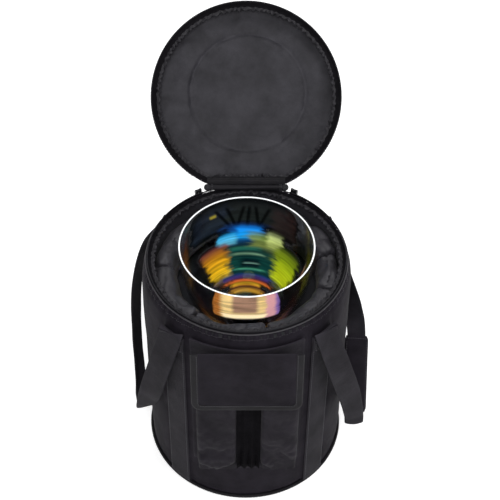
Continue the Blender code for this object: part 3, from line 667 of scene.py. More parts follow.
def make_hinge():
    """The rolled cloth over the hinge, its studs and stitches, and the strip that runs up to the lid."""
    steps = 70
    rows = []
    for i in range(steps + 1):
        x = HINGE_HALF * (2.0 * i / steps - 1.0)
        row = []
        for t in turns(20):
            r = HINGE_ROLL + 0.0003 * wobble(x, math.cos(t) * 0.004, math.sin(t) * 0.004, 0.006, 1.0)
            r += 0.00035 * math.sin(3 * t + 40 * x)
            row.append((x, HINGE[1] + r * math.cos(t), HINGE[2] + r * math.sin(t)))
        rows.append(row)
    grid("hinge_cloth", rows, LOOKS["binding"], "bag", wrap_v=True, caps="u",
         stands_for=("hinge_roll",), slot="binding")
    for side, x in (("left", -STUD_X), ("right", STUD_X)):
        profile = [(0.0002, 0.0026), (0.0016, 0.0026), (0.0019, 0.0020), (0.0030, 0.0019), (0.0048, 0.0012),
                   (0.0053, 0.0), (0.0048, -0.0010), (0.0002, -0.0012)]
        tilt = Matrix.Rotation(math.radians(43), 3, "X")
        rows = []
        for t in turns(28):
            row = []
            for r, rise in profile:
                p = tilt @ Vector((r * math.cos(t), r * math.sin(t), rise))
                row.append((x + p.x, HINGE[1] - 0.0022 + p.y, HINGE[2] + 0.0022 + p.z))
            rows.append(row)
        grid("hinge_stud_" + side, rows, LOOKS["coil"], "bag", wrap_u=True, caps="v", slot="zip", sharp=35.0)
    route = [(HINGE[1] + 0.0030, HINGE[2] - 0.0042), (HINGE[1] + 0.0052, HINGE[2] - 0.0012),
             (HINGE[1] + 0.0068, HINGE[2] + 0.0012), (HINGE[1] + 0.0095, HINGE[2] + 0.0016),
             (HINGE[1] + 0.0130, HINGE[2] + 0.0034), (HINGE[1] + 0.0165, HINGE[2] + 0.0066)]
    route = curve_through(route, 30)
    rows = []
    for i in range(141):
        x = STRIP_HALF * (i / 70.0 - 1.0)
        face = []
        for k, (y, z) in enumerate(route):
            t = k / 30.0
            layer = 0.0007 * math.sin(t * 19.0) * ease(t, 0.15, 0.35)
            pucker = 0.0007 * wobble(x, t * 0.02, 0.0, 0.007, 3.0) * math.sin(math.pi * t)
            face.append((x, y - 0.7 * (layer + pucker), z + 0.7 * (layer + pucker)))
        rows.append(face + [(p[0], p[1] + 0.0009, p[2] - 0.0009) for p in reversed(face)])
    strip = grid("hinge_strip", rows, LOOKS["binding"], None, wrap_v=True, caps="u", slot="binding")
    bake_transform(strip)
    lines = []
    wrap = np.linspace(-0.4, math.pi + 0.6, 30)
    for x in (-0.0535, -0.0515, 0.0515, 0.0535):
        arc = [(x, HINGE[1] + 0.0044 * math.cos(t), HINGE[2] + 0.0044 * math.sin(t))
               for t in wrap]
        outs = [(0.0, math.cos(t), math.sin(t)) for t in wrap]
        lines.append((arc, outs))
    stitches("hinge_stitches", lines, LOOKS["thread"], "bag", length=0.002, gap=0.001, slot="binding")


# ---------------------------------------------------------------- padding

def bowl_outside(z):
    """The bowl's outer radius at a height in its cup."""
    t = math.asin(min(1.0, max(0.0, (BOWL_RIM - z) / BOWL_DEPTH)) ** (1 / 0.9))
    return BOWL_RADIUS * math.cos(t) ** 0.75


def inflate(obj, cap, voxel=0.005):
    """Swell a closed shape by cloth simulation, holding each point within cap of where it was."""
    modifier = obj.modifiers.new("remesh", "REMESH")
    modifier.mode = "VOXEL"
    modifier.voxel_size = voxel
    bpy.context.view_layer.objects.active = obj
    for other in bpy.context.selected_objects:
        other.select_set(False)
    obj.select_set(True)
    bpy.ops.object.modifier_apply(modifier=modifier.name)
    start = np.array([v.co for v in obj.data.vertices])
    puff = obj.modifiers.new("puff", "CLOTH")
    puff.settings.use_pressure = True
    puff.settings.uniform_pressure_force = PAD_PRESSURE
    puff.settings.effector_weights.gravity = 0.0
    puff.settings.quality = 4
    for number in range(1, PAD_FRAMES + 1):
        bpy.context.scene.frame_set(number)
    bpy.ops.object.modifier_apply(modifier=puff.name)
    bpy.context.scene.frame_set(1)
    moved = np.array([v.co for v in obj.data.vertices]) - start
    length = np.linalg.norm(moved, axis=1, keepdims=True)
    moved *= np.minimum(1.0, cap / np.maximum(length, 1e-9))
    obj.data.vertices.foreach_set("co", (start + moved).astype(np.float32).ravel())
    smooth = obj.modifiers.new("smooth", "SUBSURF")
    smooth.levels = smooth.render_levels = 1
    bpy.ops.object.modifier_apply(modifier=smooth.name)
    return obj


def make_pads():
    """Soft pads round the bowl, swollen by a cloth simulation and creased."""
    for number in range(1, PAD_COUNT + 1):
        node = "side_pad_%d" % number
        pad = frame["nodes"][node].copy()
        pad.data = frame["nodes"][node].data.copy()
        pad.name = "pad_%d" % number
        pad.data.name = pad.name
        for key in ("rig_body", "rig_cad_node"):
            del pad[key]
        pad.parent = None
        pad.matrix_world = Matrix.Identity(4)
        pad.hide_render = pad.hide_viewport = False
        bpy.context.scene.collection.objects.link(pad)
        low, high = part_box(node)
        middle = (low + high) / 2
        for v in pad.data.vertices:
            v.co = middle + (v.co - middle) * 0.985
        inflate(pad, PAD_SWELL)
        for v in pad.data.vertices:
            x, y, z = v.co
            r = math.hypot(x, y)
            top = ease(z, 0.352, 0.385)
            fold = 0.0046 * crease(x, y, z * 0.8, 0.055, 1.3 * number)
            fold += 0.0016 * crease(x, y, z, 0.024, 4.1 + number)
            swell = 0.0042 * wobble(x, y, z, 0.045, 0.7 * number)
            z += top * (swell - fold + 0.0022) - 0.003 * ease(r, 0.112, 0.1015) * top
            r += 0.5 * (swell - fold) * (1 if r > 0.122 else -1)
            r = min(PAD_OUTER - 0.001 * top, max(bowl_outside(z) + 0.0016, r))
            angle = math.atan2(y, x)
            v.co = (r * math.cos(angle), r * math.sin(angle), z)
        finish_piece(pad, LOOKS["pad"], "bag", (node,), 80.0)


# ---------------------------------------------------------------- the lid

def lid_loop(inset, z, shrink=1.0, arc=168, flat=40):
    """The lid's outline with the lid shut: an arc, and a straight side along the hinge."""
    radius = LID_RADIUS - inset
    line = LID_FLAT_Y - inset
    half = math.degrees(math.acos(line / radius))
    points = []
    for i in range(arc):
        x, y, _ = polar(radius, 90.0 + half + (360.0 - 2 * half) * i / arc, z)
        points.append((x * shrink, y * shrink, z))
    x0 = radius * math.sin(math.radians(half))
    for i in range(flat):
        points.append(((x0 - 2 * x0 * i / flat) * shrink, line * shrink, z))
    return points


def lid_piece(name, loops, look, change=None, caps="v", wrap_v=False, **more):
    """A lid surface through shut-position outlines, moved by change and turned open."""
    rows = np.array(loops).transpose(1, 0, 2)
    if change:
        shaped = [[change(j, *p) for j, p in enumerate(row)] for row in rows]
        rows = np.array(shaped)
    return grid(name, open_lid(rows), look, "lid", wrap_u=True, wrap_v=wrap_v, caps=caps, **more)


def make_lid():
    """Outer cover with its piping, lining, ruffled binding and the upper half of the zip."""
    low, high = SKIRT_LOW, SKIRT_HIGH
    loops = [lid_loop(0.002, high - 0.002, s) for s in (0.02, 0.5, 0.98)]
    loops += [lid_loop(0.002, low + 0.001), lid_loop(0.001, low), lid_loop(0.0, low + 0.0006)]
    loops += [lid_loop(0.0, z) for z in np.linspace(low + 0.002, high - 0.0062, 12)]
    loops += [lid_loop(0.0008, high - 0.004), lid_loop(0.0028, high - 0.0016)]
    loops += [lid_loop(0.0058, high - 0.0005)]
    loops += [lid_loop(0.008, high, s) for s in (1.0, 0.97, 0.92, 0.85, 0.77, 0.68, 0.58, 0.47, 0.36, 0.25,
                                                0.14, 0.03)]

    def cover(j, x, y, z):
        r = math.hypot(x, y)
        if z > high - 0.0003 and j > 8:
            z += 0.0022 * ease(r, 0.138, 0.06) + 0.0010 * wobble(x, y, 0.0, 0.06, 9.0) * ease(r, 0.135, 0.12)
            z -= 0.0006 * crease(x, y, 0.0, 0.07, 2.2) * ease(r, 0.13, 0.1)
        elif j > 4 and r > 0.1:
            dent = 0.0009 * wobble(x, y, z, 0.04, 5.0) + 0.0006 * crease(x, y, 0.5 * z, 0.03, 6.0) + 0.0003
            x, y = x * (1 - max(0.0, dent) / r), y * (1 - max(0.0, dent) / r)
        return (x, y, z)

    lid_piece("lid_cover", loops, LOOKS["shell"], cover, stands_for=("lid_shell",), slot="shell")

    edge = np.array(lid_loop(0.0020, high - 0.0012))
    rows = []
    for x, y, z in edge:
        away = unit(np.array([x, y, 0.0]))
        rows.append([np.array([x, y, z]) + 0.0017 * (away * math.cos(t) + np.array([0, 0, 1.0]) * math.sin(t))
                     for t in np.linspace(0, 2 * math.pi, 9, endpoint=False)])
    grid("lid_cord", open_lid(rows), LOOKS["binding"], "lid", wrap_u=True, wrap_v=True, slot="binding")

    ceiling = high - 0.002 - 0.0003 - 0.007 - 0.0003 - 0.0012
    shares = (0.01, 0.05, 0.1, 0.15, 0.2, 0.25, 0.3, 0.35, 0.4, 0.45, 0.5, 0.54, 0.57, 0.60, 0.62, 0.635,
              0.65, 0.665, 0.68, 0.70, 0.73, 0.77, 0.81, 0.85, 0.885, 0.915, 0.94, 0.96, 0.98)
    loops = [lid_loop(0.0035, ceiling, share) for share in shares]
    loops += [lid_loop(0.0036, z) for z in np.linspace(ceiling - 0.001, low + 0.0042, 10)]
    loops += [lid_loop(0.0025, low + 0.0042), lid_loop(0.0025, ceiling + 0.0011)]
    loops += [lid_loop(0.0025, ceiling + 0.0012, s) for s in (0.98, 0.5, 0.01)]
    shown = len(loops) - 5

    def lining(j, x, y, z):
        if j >= shown:
            return (x, y, z)
        r = math.hypot(x, y)
        inside = ease(r, 0.14, 0.115)
        if j < len(shares):
            beyond = math.hypot(x - LID_CIRCLE[0], y - LID_CIRCLE[1]) - LID_CIRCLE[2]
            z += 0.0024 * math.exp(-(beyond / 0.0024) ** 2) * (0.7 + 0.6 * wobble(x, y, 0.0, 0.05, 1.0)) * -1
            z -= 0.0007 * ease(beyond, 0.004, -0.004)
            arc = math.hypot(x - 0.012, y + 0.018) - 0.062
            z += 0.0007 * math.exp(-(arc / 0.003) ** 2) * ease(x, -0.03, 0.02)
            z -= 0.0020 * (0.4 + wobble(x, y, 0.0, 0.06, 4.0)) * inside
            z -= 0.0019 * crease(x, y, 0.0, 0.045, 7.0) * (0.3 + 0.7 * ease(r, 0.08, 0.11))
            z = min(z, ceiling + 0.0008)
        else:
            pull = 0.0012 * crease(x, y, 0.4 * z, 0.014, 3.0) + 0.0007
            x, y = x * (1 - pull / r), y * (1 - pull / r)
        return (x, y, z)

    lid_piece("lid_lining_cloth", loops, LOOKS["lining"], lining, stands_for=("lid_lining",), slot="lining")

    across = np.linspace(0.0016, 0.0135, 12)
    hems = [0.0011 * ease(a, 0.0095, 0.0118) * ease(a, 0.0140, 0.0128) for a in across]
    loops = [lid_loop(a, low + 0.0007 - h, 1.0, 420, 100) for a, h in zip(across, hems)]
    loops += [lid_loop(a, low + 0.0028 + 0.4 * h, 1.0, 420, 100) for a, h in zip(across[::-1], hems[::-1])]

    def ruffle(j, x, y, z):
        free = ((j if j < 12 else 23 - j) / 11.0) ** 1.6
        angle = math.atan2(x, -y)
        phase = angle * RUFFLE_WAVES + 6.0 * wobble(x, y, 0.0, 0.045, 11.0)
        size = 0.45 + 1.2 * abs(wobble(x, y, 0.0, 0.02, 12.0))
        r = math.hypot(x, y)
        pull = 1 + 0.0019 * free * size * math.sin(1.6 * phase) / r
        return (x * pull, y * pull, z + 0.0027 * free * size * math.sin(phase) + 0.0010 * free)

    frill = lid_piece("lid_ruffle", loops, LOOKS["ruffle"], ruffle, caps="", wrap_v=True,
                      stands_for=("lid_binding",), slot="binding")
    # The flat outer columns take the zip tape's own dark cloth; the gathered hem keeps the lighter cloth of
    # the painted highlight
    two_tone(frill, LOOKS["tape"], len(loops), set(range(7)) | set(range(16, 24)))

    tape = [(0.1456, H + 0.0100), (0.1462, H + 0.0104), (0.1464, H + 0.0128), (0.1461, H + 0.0136),
            (0.1452, H + 0.0136), (0.1450, H + 0.0104)]
    rows = []
    for i in range(301):
        angle = LID_ZIP_START + LID_ZIP_SWEEP * i / 300
        rows.append([polar(r, angle, z) for r, z in tape])
    grid("zip_tape_upper", open_lid(rows), LOOKS["tape"], "lid", wrap_v=True, caps="u",
         stands_for=("zip_tape_lid",), slot="binding")
    rows = coil_rows(COIL_UPPER_Z, LID_ZIP_START, LID_ZIP_SWEEP, 920)
    grid("zip_coil_upper", open_lid(rows), LOOKS["coil"], "lid", wrap_v=True, caps="u",
         stands_for=("zip_coil_lid",), slot="zip")
    row = np.array(lid_loop(-0.0002, low + 0.0062, 1.0, 300, 60))
    outs = np.array([unit(np.array([x, y, 0.0])) for x, y, _ in row])
    turned = open_lid(outs + HINGE) - HINGE
    stitches("lid_stitches", [(open_lid(row), turned)], LOOKS["thread"], "lid", slot="binding")


# ---------------------------------------------------------------- the bowl

# Painted reflections on the cup's inner face, one patch a row: iridescent rainbow colours, light rings round
# a dark reflected spot, and the grey-green of the pads seen through the wall
PAINTED_REFLECTIONS = (
    # middle azimuth, half width, top and bottom depth, upper and lower colour, strength
    (92.0, 50.0, 0.004, 0.050, (0.016, 0.018, 0.018), (0.024, 0.032, 0.028), 0.55),
    (128.0, 24.0, 0.010, 0.056, (0.010, 0.014, 0.026), (0.012, 0.020, 0.040), 0.55),
    (52.0, 16.0, 0.010, 0.060, (0.026, 0.010, 0.010), (0.030, 0.016, 0.014), 0.5),
    (92.0, 23.0, 0.052, 0.088, (0.004, 0.065, 0.30), (0.004, 0.045, 0.12), 0.85),
    (88.0, 15.0, 0.055, 0.076, (0.006, 0.16, 0.60), (0.006, 0.24, 0.55), 1.0),
    (110.0, 11.0, 0.066, 0.084, (0.01, 0.24, 0.50), (0.10, 0.42, 0.58), 0.95),
    (72.0, 18.0, 0.066, 0.094, (0.10, 0.17, 0.035), (0.20, 0.23, 0.04), 0.9),
    (60.0, 10.0, 0.062, 0.092, (0.42, 0.50, 0.20), (0.30, 0.36, 0.06), 1.0),
    (86.0, 52.0, 0.086, 0.128, (0.004, 0.020, 0.018), (0.002, 0.040, 0.034), 0.9),
    (90.0, 22.0, 0.090, 0.096, (0.02, 0.12, 0.07), (0.005, 0.07, 0.06), 0.7),
    (128.0, 19.0, 0.080, 0.098, (0.10, 0.022, 0.024), (0.22, 0.08, 0.010), 0.9),
    (129.0, 18.0, 0.092, 0.126, (0.30, 0.11, 0.006), (0.52, 0.33, 0.008), 1.0),
    (40.0, 21.0, 0.076, 0.100, (0.06, 0.09, 0.006), (0.16, 0.22, 0.008), 0.9),
    (37.0, 18.0, 0.090, 0.126, (0.14, 0.21, 0.006), (0.36, 0.42, 0.008), 1.0),
    (86.0, 14.0, 0.1075, 0.1195, (0.001, 0.006, 0.008), (0.001, 0.006, 0.008), 1.0),
    (90.0, 20.0, 0.0995, 0.1020, (0.14, 0.26, 0.16), (0.14, 0.26, 0.16), 0.8),
    (84.0, 12.0, 0.1130, 0.1145, (0.10, 0.20, 0.16), (0.10, 0.20, 0.16), 0.7),
    (86.0, 24.0, 0.1200, 0.1222, (0.06, 0.30, 0.16), (0.03, 0.16, 0.14), 0.8),
    (86.0, 62.0, 0.1256, 0.1308, (0.003, 0.026, 0.10), (0.040, 0.010, 0.070), 1.0),
    (86.0, 56.0, 0.1312, 0.1340, (0.20, 0.030, 0.020), (0.42, 0.10, 0.010), 1.0),
    (88.0, 34.0, 0.1342, 0.1372, (0.42, 0.26, 0.012), (0.22, 0.07, 0.010), 1.0),
    (86.0, 52.0, 0.1374, 0.1410, (0.08, 0.030, 0.010), (0.34, 0.18, 0.015), 1.0),
    (122.0, 3.5, 0.022, 0.028, (0.24, 0.20, 0.02), (0.24, 0.20, 0.02), 0.8),
    (12.0, 1.6, 0.060, 0.100, (0.20, 0.16, 0.10), (0.30, 0.06, 0.02), 0.7),
)
# Painted dark lines on the glass, standing for the pads' folds seen through the cup's back wall
PAINTED_FOLD_LINES = (  # azimuth and lean of each dark line at the back of the cup
    (73.0, 0.9), (80.0, -0.3), (88.0, 0.2), (95.0, 0.6), (104.0, -0.8), (112.0, -1.4),
)


def painted_floor_reflection(x, y):
    """Colour and cover of the painted reflection on the cup's floor: iridescent gold, cream, pink and violet.
    """
    torn = 0.0045 * wobble(0.0, y * 6.0, 0.0, 0.02, 5.0) + 0.0030 * wobble(x, y * 14.0, 0.0, 0.02, 8.0)
    across = abs(x) + torn
    reach = ease(across, 0.0545, 0.0490) * ease(y, -0.0215, -0.0165) * ease(y, 0.026, 0.020)
    streaks = 0.80 + 0.45 * wobble(x * 0.5, y * 7.0, 0.0, 0.02, 2.0)
    colour = np.array([0.86, 0.60, 0.24]) * streaks
    middle = ease(abs(x + 0.002) + 0.5 * torn, 0.024, 0.015) * ease(y, -0.0105, -0.004)
    colour = colour * (1 - middle) + np.array([0.34, 0.19, 0.12]) * middle * streaks
    pale = ease(y, -0.0085, -0.0125) * ease(across, 0.040, 0.032)
    colour = colour * (1 - pale) + np.array([1.0, 0.78, 0.46]) * pale
    left = ease(-x + torn, 0.033, 0.044)
    colour = colour * (1 - left) + np.array([0.42, 0.14, 0.025]) * left * streaks
    pink = ease(x + torn, 0.027, 0.034)
    colour = colour * (1 - pink) + np.array([0.62, 0.30, 0.30]) * pink
    violet = ease(x + torn, 0.041, 0.049)
    return colour * (1 - violet) + np.array([0.16, 0.09, 0.30]) * violet, 0.95 * reach


def painted_reflection_colour(x, y, z):
    """Colour and cover of the painted reflections at a point of the bowl's inner face."""
    depth = BOWL_RIM - z
    azimuth = math.degrees(math.atan2(y, x)) % 360.0
    colour = np.array([0.006, 0.008, 0.009])
    cover = 0.0
    ragged = wobble(azimuth * 0.006, depth * 22.0, 0.0, 0.10, 4.0)
    fine = wobble(azimuth * 0.02, depth * 70.0, 0.0, 0.10, 9.0)
    for middle, half, top, bottom, upper, lower, strength in PAINTED_REFLECTIONS:
        side = abs((azimuth - middle + 180.0) % 360.0 - 180.0) / half
        side += 0.30 * ragged + 0.22 * fine
        soft = 0.24 * (bottom - top) + 0.0004
        level = depth + 0.05 * (bottom - top) * ragged
        inside = ease(side, 1.18, 0.55) * ease(level, top - soft, top + soft)
        inside *= ease(level, bottom + soft, bottom - soft)
        streak = 0.86 + 0.55 * wobble(azimuth * 0.003, depth * 110.0, 0.0, 0.10, middle)
        t = min(1.0, max(0.0, (depth - top) / (bottom - top)))
        patch = (np.array(upper) * (1 - t) + np.array(lower) * t) * min(1.25, max(0.35, streak))
        share = inside * strength
        colour = colour * (1 - share) + patch * share
        cover = cover + (1 - cover) * share
    # Painted dark fold lines where the pads show through the back wall
    for middle, lean in PAINTED_FOLD_LINES:
        away = abs(azimuth - middle - lean * (depth - 0.035) * 260.0)
        dark = ease(away, 3.0, 0.6) * ease(depth, 0.010, 0.020) * ease(depth, 0.058, 0.046)
        colour = colour * (1 - 0.85 * dark)
        cover = cover + (1 - cover) * 0.5 * dark
    # The painted reflection on the cup's floor
    if depth > 0.1315:
        gold, reach = painted_floor_reflection(x, y)
        colour = colour * (1 - reach) + gold * reach
        cover = cover + (1 - cover) * reach
    return colour, cover


def cup_curve(radius, depth, end_radius, steps):
    """(radius, height) points down a cup's side, from its rim to where it narrows to end_radius."""
    last = math.acos((end_radius / radius) ** (1 / 0.75))
    points = []
    for i in range(steps + 1):
        t = last * math.sin(0.5 * math.pi * i / steps)
        points.append((radius * math.cos(t) ** 0.75, BOWL_RIM - depth * math.sin(t) ** 0.9))
    return points


def make_bowl():
    """The cup with its hollow stem, and the ground white edge of its rim."""
    neck = BOWL_RIM - BOWL_DEPTH - 0.010
    outer = cup_curve(BOWL_RADIUS, BOWL_DEPTH, 0.028, 60)
    outer += [(0.0252, neck + 0.0062), (0.0228, neck + 0.0028)]
    outer += [(0.0210, neck - 0.001), (0.0202, neck - 0.005)]
    outer += [(0.0200, z) for z in np.linspace(neck - 0.010, STEM_END + 0.02, 10)]
    outer += [(0.0207, STEM_END + 0.012), (0.0214, STEM_END + 0.006), (0.0216, STEM_END + 0.002),
              (0.0207, STEM_END)]
    inner = [(0.0176, STEM_END), (0.0170, STEM_END + 0.0008)]
    cup_floor = BOWL_RIM - BOWL_DEPTH + BOWL_WALL
    bore_top = cup_floor - 0.011
    inner += [(0.0170, z) for z in np.linspace(STEM_END + 0.01, bore_top - 0.004, 10)]
    inner += [(0.0160, bore_top - 0.0015), (0.0130, bore_top)]
    inner += [(0.006, bore_top + 0.0004), (0.0004, bore_top + 0.0005)]
    cup = cup_curve(BOWL_RADIUS - BOWL_WALL, BOWL_DEPTH - BOWL_WALL, 0.0235, 130)
    cup += [(r, cup_floor + 0.0014 * (r / 0.0235) ** 2) for r in np.linspace(0.0215, 0.0004, 12)]
    first = len(outer) + len(inner)
    profile = outer + inner + list(reversed(cup))
    profile += [(BOWL_RADIUS - 0.0026, BOWL_RIM + 0.0006), (BOWL_RADIUS - 0.0016, BOWL_RIM + 0.0010),
                (BOWL_RADIUS - 0.0006, BOWL_RIM + 0.0006)]
    steps = 360
    bowl = lathe("bowl_glass", profile, LOOKS["crystal"], "bowl", steps=steps, stands_for=("crystal_bowl",),
                 slot="crystal", sharp=80.0)
    count = len(profile)
    # The painted reflections are stored per point: their colour, and their cover as alpha, which also sets
    # their glow
    layer = bowl.data.attributes.new("painted_reflection", "FLOAT_COLOR", "POINT")
    values = np.zeros((steps * count, 4), np.float32)
    values[:, :3] = (0.006, 0.008, 0.009)
    for i in range(steps):
        for j in range(first, count):
            x, y, z = bowl.data.vertices[i * count + j].co
            colour, cover = painted_reflection_colour(x, y, z)
            values[i * count + j] = (*colour, cover)
    layer.data.foreach_set("color", values.ravel())
    edge = ring(BOWL_RADIUS - 0.0013, BOWL_RIM + 0.0009, 0.00115, 0.0007, 12)
    lathe("bowl_rim_edge", edge, ground_edge_painted_glow_look(), "bowl", steps=240, slot="crystal")


def ground_edge_painted_glow_look():
    """The fire-ground rim: white, with a painted glow (emission) for the light it carries."""
    look = Look("ground_edge_painted_glow")
    solid = look.add("ShaderNodeTexCoord").outputs["Object"]
    grain = look.add("ShaderNodeTexNoise", {"Vector": solid, "Scale": 420.0, "Detail": 3.0}).outputs["Fac"]
    tone = look.ramp(grain, [(0.3, (0.80, 0.82, 0.84)), (0.7, (0.98, 0.99, 1.0))])
    # painted glow: a faint white emission on the rim
    look.set(Base_Color=tone, Emission_Color=(0.9, 0.93, 0.97, 1.0), Emission_Strength=0.25)
    look.set(Roughness=look.remap(grain, 0.3, 0.5))
    bump = look.add("ShaderNodeBump", {"Strength": 0.2, "Distance": 0.0003, "Height": grain})
    look.set(Normal=bump.outputs[0])
    return look.material


# ---------------------------------------------------------------- the pocket

def pouch_loop(left, right, inset, z):
    """Plan outline of a pouch: curved back, flat front with round corners."""
    back = 0.1578 + inset
    front = POUCH_FRONT + inset
    x0, x1 = left + inset, right - inset
    corner = POUCH_CORNER - inset
    points = [(x, -math.sqrt(back * back - x * x), z) for x in np.linspace(x0, x1, 22)]
    for k in range(8):
        turn = math.radians(-90.0 * k / 7)
        points.append((x1 - corner + corner * math.cos(turn), front + corner + corner * math.sin(turn), z))
    for x in np.linspace(x1 - corner, x0 + corner, 26)[1:-1]:
        points.append((x, front, z))
    for k in range(8):
        turn = math.radians(-90.0 - 90.0 * k / 7)
        points.append((x0 + corner + corner * math.cos(turn), front + corner + corner * math.sin(turn), z))
    return points


def make_pocket():
    """Back panel, the two pouches with their sagging fronts, the folds between them and the strips."""
    heights = np.linspace(0.088, PANEL_TOP, 40)
    panel = [(0.1574, z) for z in heights] + [(0.1563, z) for z in reversed(heights)]

    def panel_shape(r, angle, z):
        if r < 0.157:
            return r, z
        x, y, _ = polar(0.157, angle, z)
        rise = 0.0005 * wobble(x, y, z, 0.03, 5.0) + 0.0004
        lip = 0.0009 * ease(z, PANEL_TOP - 0.0027, PANEL_TOP - 0.0007)
        lip += 0.0009 * ease(abs(angle + 90.0), 29.4, 30.3)
        return r + max(0.0, rise) * ease(z, 0.09, 0.1) + lip, z

    lathe("pocket_panel", panel, LOOKS["panel"], "bag", start=-121.0, sweep=62.0, steps=90,
          change=panel_shape, stands_for=("pocket_back",), slot="shell")
    for name, left, right in POUCHES:
        middle = 0.5 * (left + right)
        half = 0.5 * (right - left)
        low, high = POUCH_LOW, POUCH_HIGH
        shown = 44
        loops = [pouch_loop(left, right, 0.0, z) for z in np.linspace(low, high, shown)]
        loops += [pouch_loop(left, right, 0.0016, z) for z in (high, 0.24, 0.18, low + 0.0016)]
        points = np.array(loops).transpose(1, 0, 2)

        def soften(j, x, y, z):
            away = (x - middle) / half
            tall = (z - low) / (high - low)
            front = ease(-y, 0.1545, 0.166)
            if j >= shown:
                return (x, y + 0.0008 * front, z)
            belly = 0.0042 * front * math.sin(math.pi * min(1.0, tall * 1.05)) * (1 - 0.7 * away * away)
            dent = 0.0042 * crease(x, 0.0, z * 0.55, 0.028, 3.0 + left * 40)
            dent += 0.0018 * crease(x, 0.0, z, 0.016, 7.0 + left * 40)
            dent *= 0.35 + 0.65 * ease(tall, 0.62, 0.18)
            wave = 0.0032 * wobble(x, 0.0, z, 0.045, 2.0 + left * 30)
            tuck = 0.008 * ease(tall, 0.14, 0.0) * ease(abs(away), 0.45, 1.0)
            y = y - front * (belly + wave - dent * 0.9) + front * tuck
            y = max(y, -0.1755)
            squeeze = 1 - 0.07 * ease(tall, 0.16, 0.0) - 0.02 * wobble(0.0, 0.0, z, 0.05, left * 90)
            x = middle + (x - middle) * squeeze
            z = z + 0.006 * ease(tall, 0.10, 0.0) * ease(abs(away), 0.35, 1.0)
            back = -math.sqrt(0.1576 ** 2 - x * x)
            return (x, min(y, back), z)

        shaped = np.array([[soften(j, *p) for j, p in enumerate(row)] for row in points])
        grid("pouch_cloth_" + name, shaped, LOOKS["panel"], "bag", wrap_u=True, caps="v",
             stands_for=("pouch_" + name,), slot="shell")
        strip = [(middle + 0.017 * c, -0.1687, high - 0.008 + 0.006 * s) for c, s in
                 ((-1, -1), (1, -1), (1, 1), (-1, 1))]
        strip_piece("loop_cloth_" + name, strip, 0.0009, "bag", ("loop_strip_" + name,))
    # The pleat between the pouches, in the darker cloth that paints the shade inside the fold
    rows = []
    for i in range(61):
        t = i / 60.0
        x = PLEAT[0] + (PLEAT[1] - PLEAT[0]) * t
        fold = abs(((t * 3.0) % 1.0) - 0.5) * 2.0
        row = []
        for z in np.linspace(0.0965, 0.280, 30):
            depth = -0.1592 - 0.0040 * fold * (1.4 - 1.0 * ease(z, 0.1, 0.17))
            depth -= 0.0008 * wobble(x, 0.0, z, 0.02, 6.0)
            row.append((x, min(depth, -math.sqrt(0.1582 ** 2 - x * x)), z))
        row += [(x, p[1] + 0.0011, p[2]) for p in reversed(row)]
        rows.append(row)
    grid("pleat_cloth", rows, LOOKS["pleat_painted_shade"], "bag", wrap_v=True, caps="u", stands_for=("pocket_pleat",),
         slot="shell")


def strip_piece(name, corners, depth, body, stands_for, normal=(0.0, -1.0, 0.0)):
    """A hook-and-loop strip: a thin bevelled pad with a fuzzy face."""
    corners = np.array(corners)
    rows = []
    for i in range(25):
        t = i / 24.0
        a = corners[0] * (1 - t) + corners[1] * t
        b = corners[3] * (1 - t) + corners[2] * t
        face, back = [], []
        for k in range(9):
            s = k / 8.0
            p = a * (1 - s) + b * s
            edge = min(ease(t, 0.0, 0.05), ease(t, 1.0, 0.95), ease(s, 0.0, 0.12), ease(s, 1.0, 0.88))
            fuzz = 0.0001 * wobble(p[0], p[1], p[2], 0.001, 2.0)
            face.append(p + np.array(normal) * (0.2 * depth + 0.6 * depth * edge + fuzz))
            back.append(p - np.array(normal) * 0.0001)
        rows.append(face + list(reversed(back)))
    return grid(name, rows, LOOKS["hook"], body, wrap_v=True, caps="u", stands_for=stands_for, slot="hook")


def on_flap(x, down, out):
    """A point on the hanging flap: across, down its slope and out from its inner face."""
    c, s = math.cos(FLAP_LEAN), math.sin(FLAP_LEAN)
    return (x, FLAP_PIVOT[1] - down * s - out * c, FLAP_PIVOT[2] - down * c + out * s)


def flap_edge(half, length, corner, top, sides=14, along=26):
    """The flap's edge as (across, down), from its top right round the foot to its top left."""
    right = [(half, top + (length - corner - top) * k / along) for k in range(along)]
    for k in range(sides + 1):
        turn = math.radians(90.0 * k / sides)
        right.append((half - corner + corner * math.cos(turn), length - corner + corner * math.sin(turn)))
    foot = [((half - corner) * (1 - k / along), length) for k in range(1, along)]
    half_line = right + foot
    return half_line + [(0.0, length)] + [(-x, d) for x, d in reversed(half_line)]


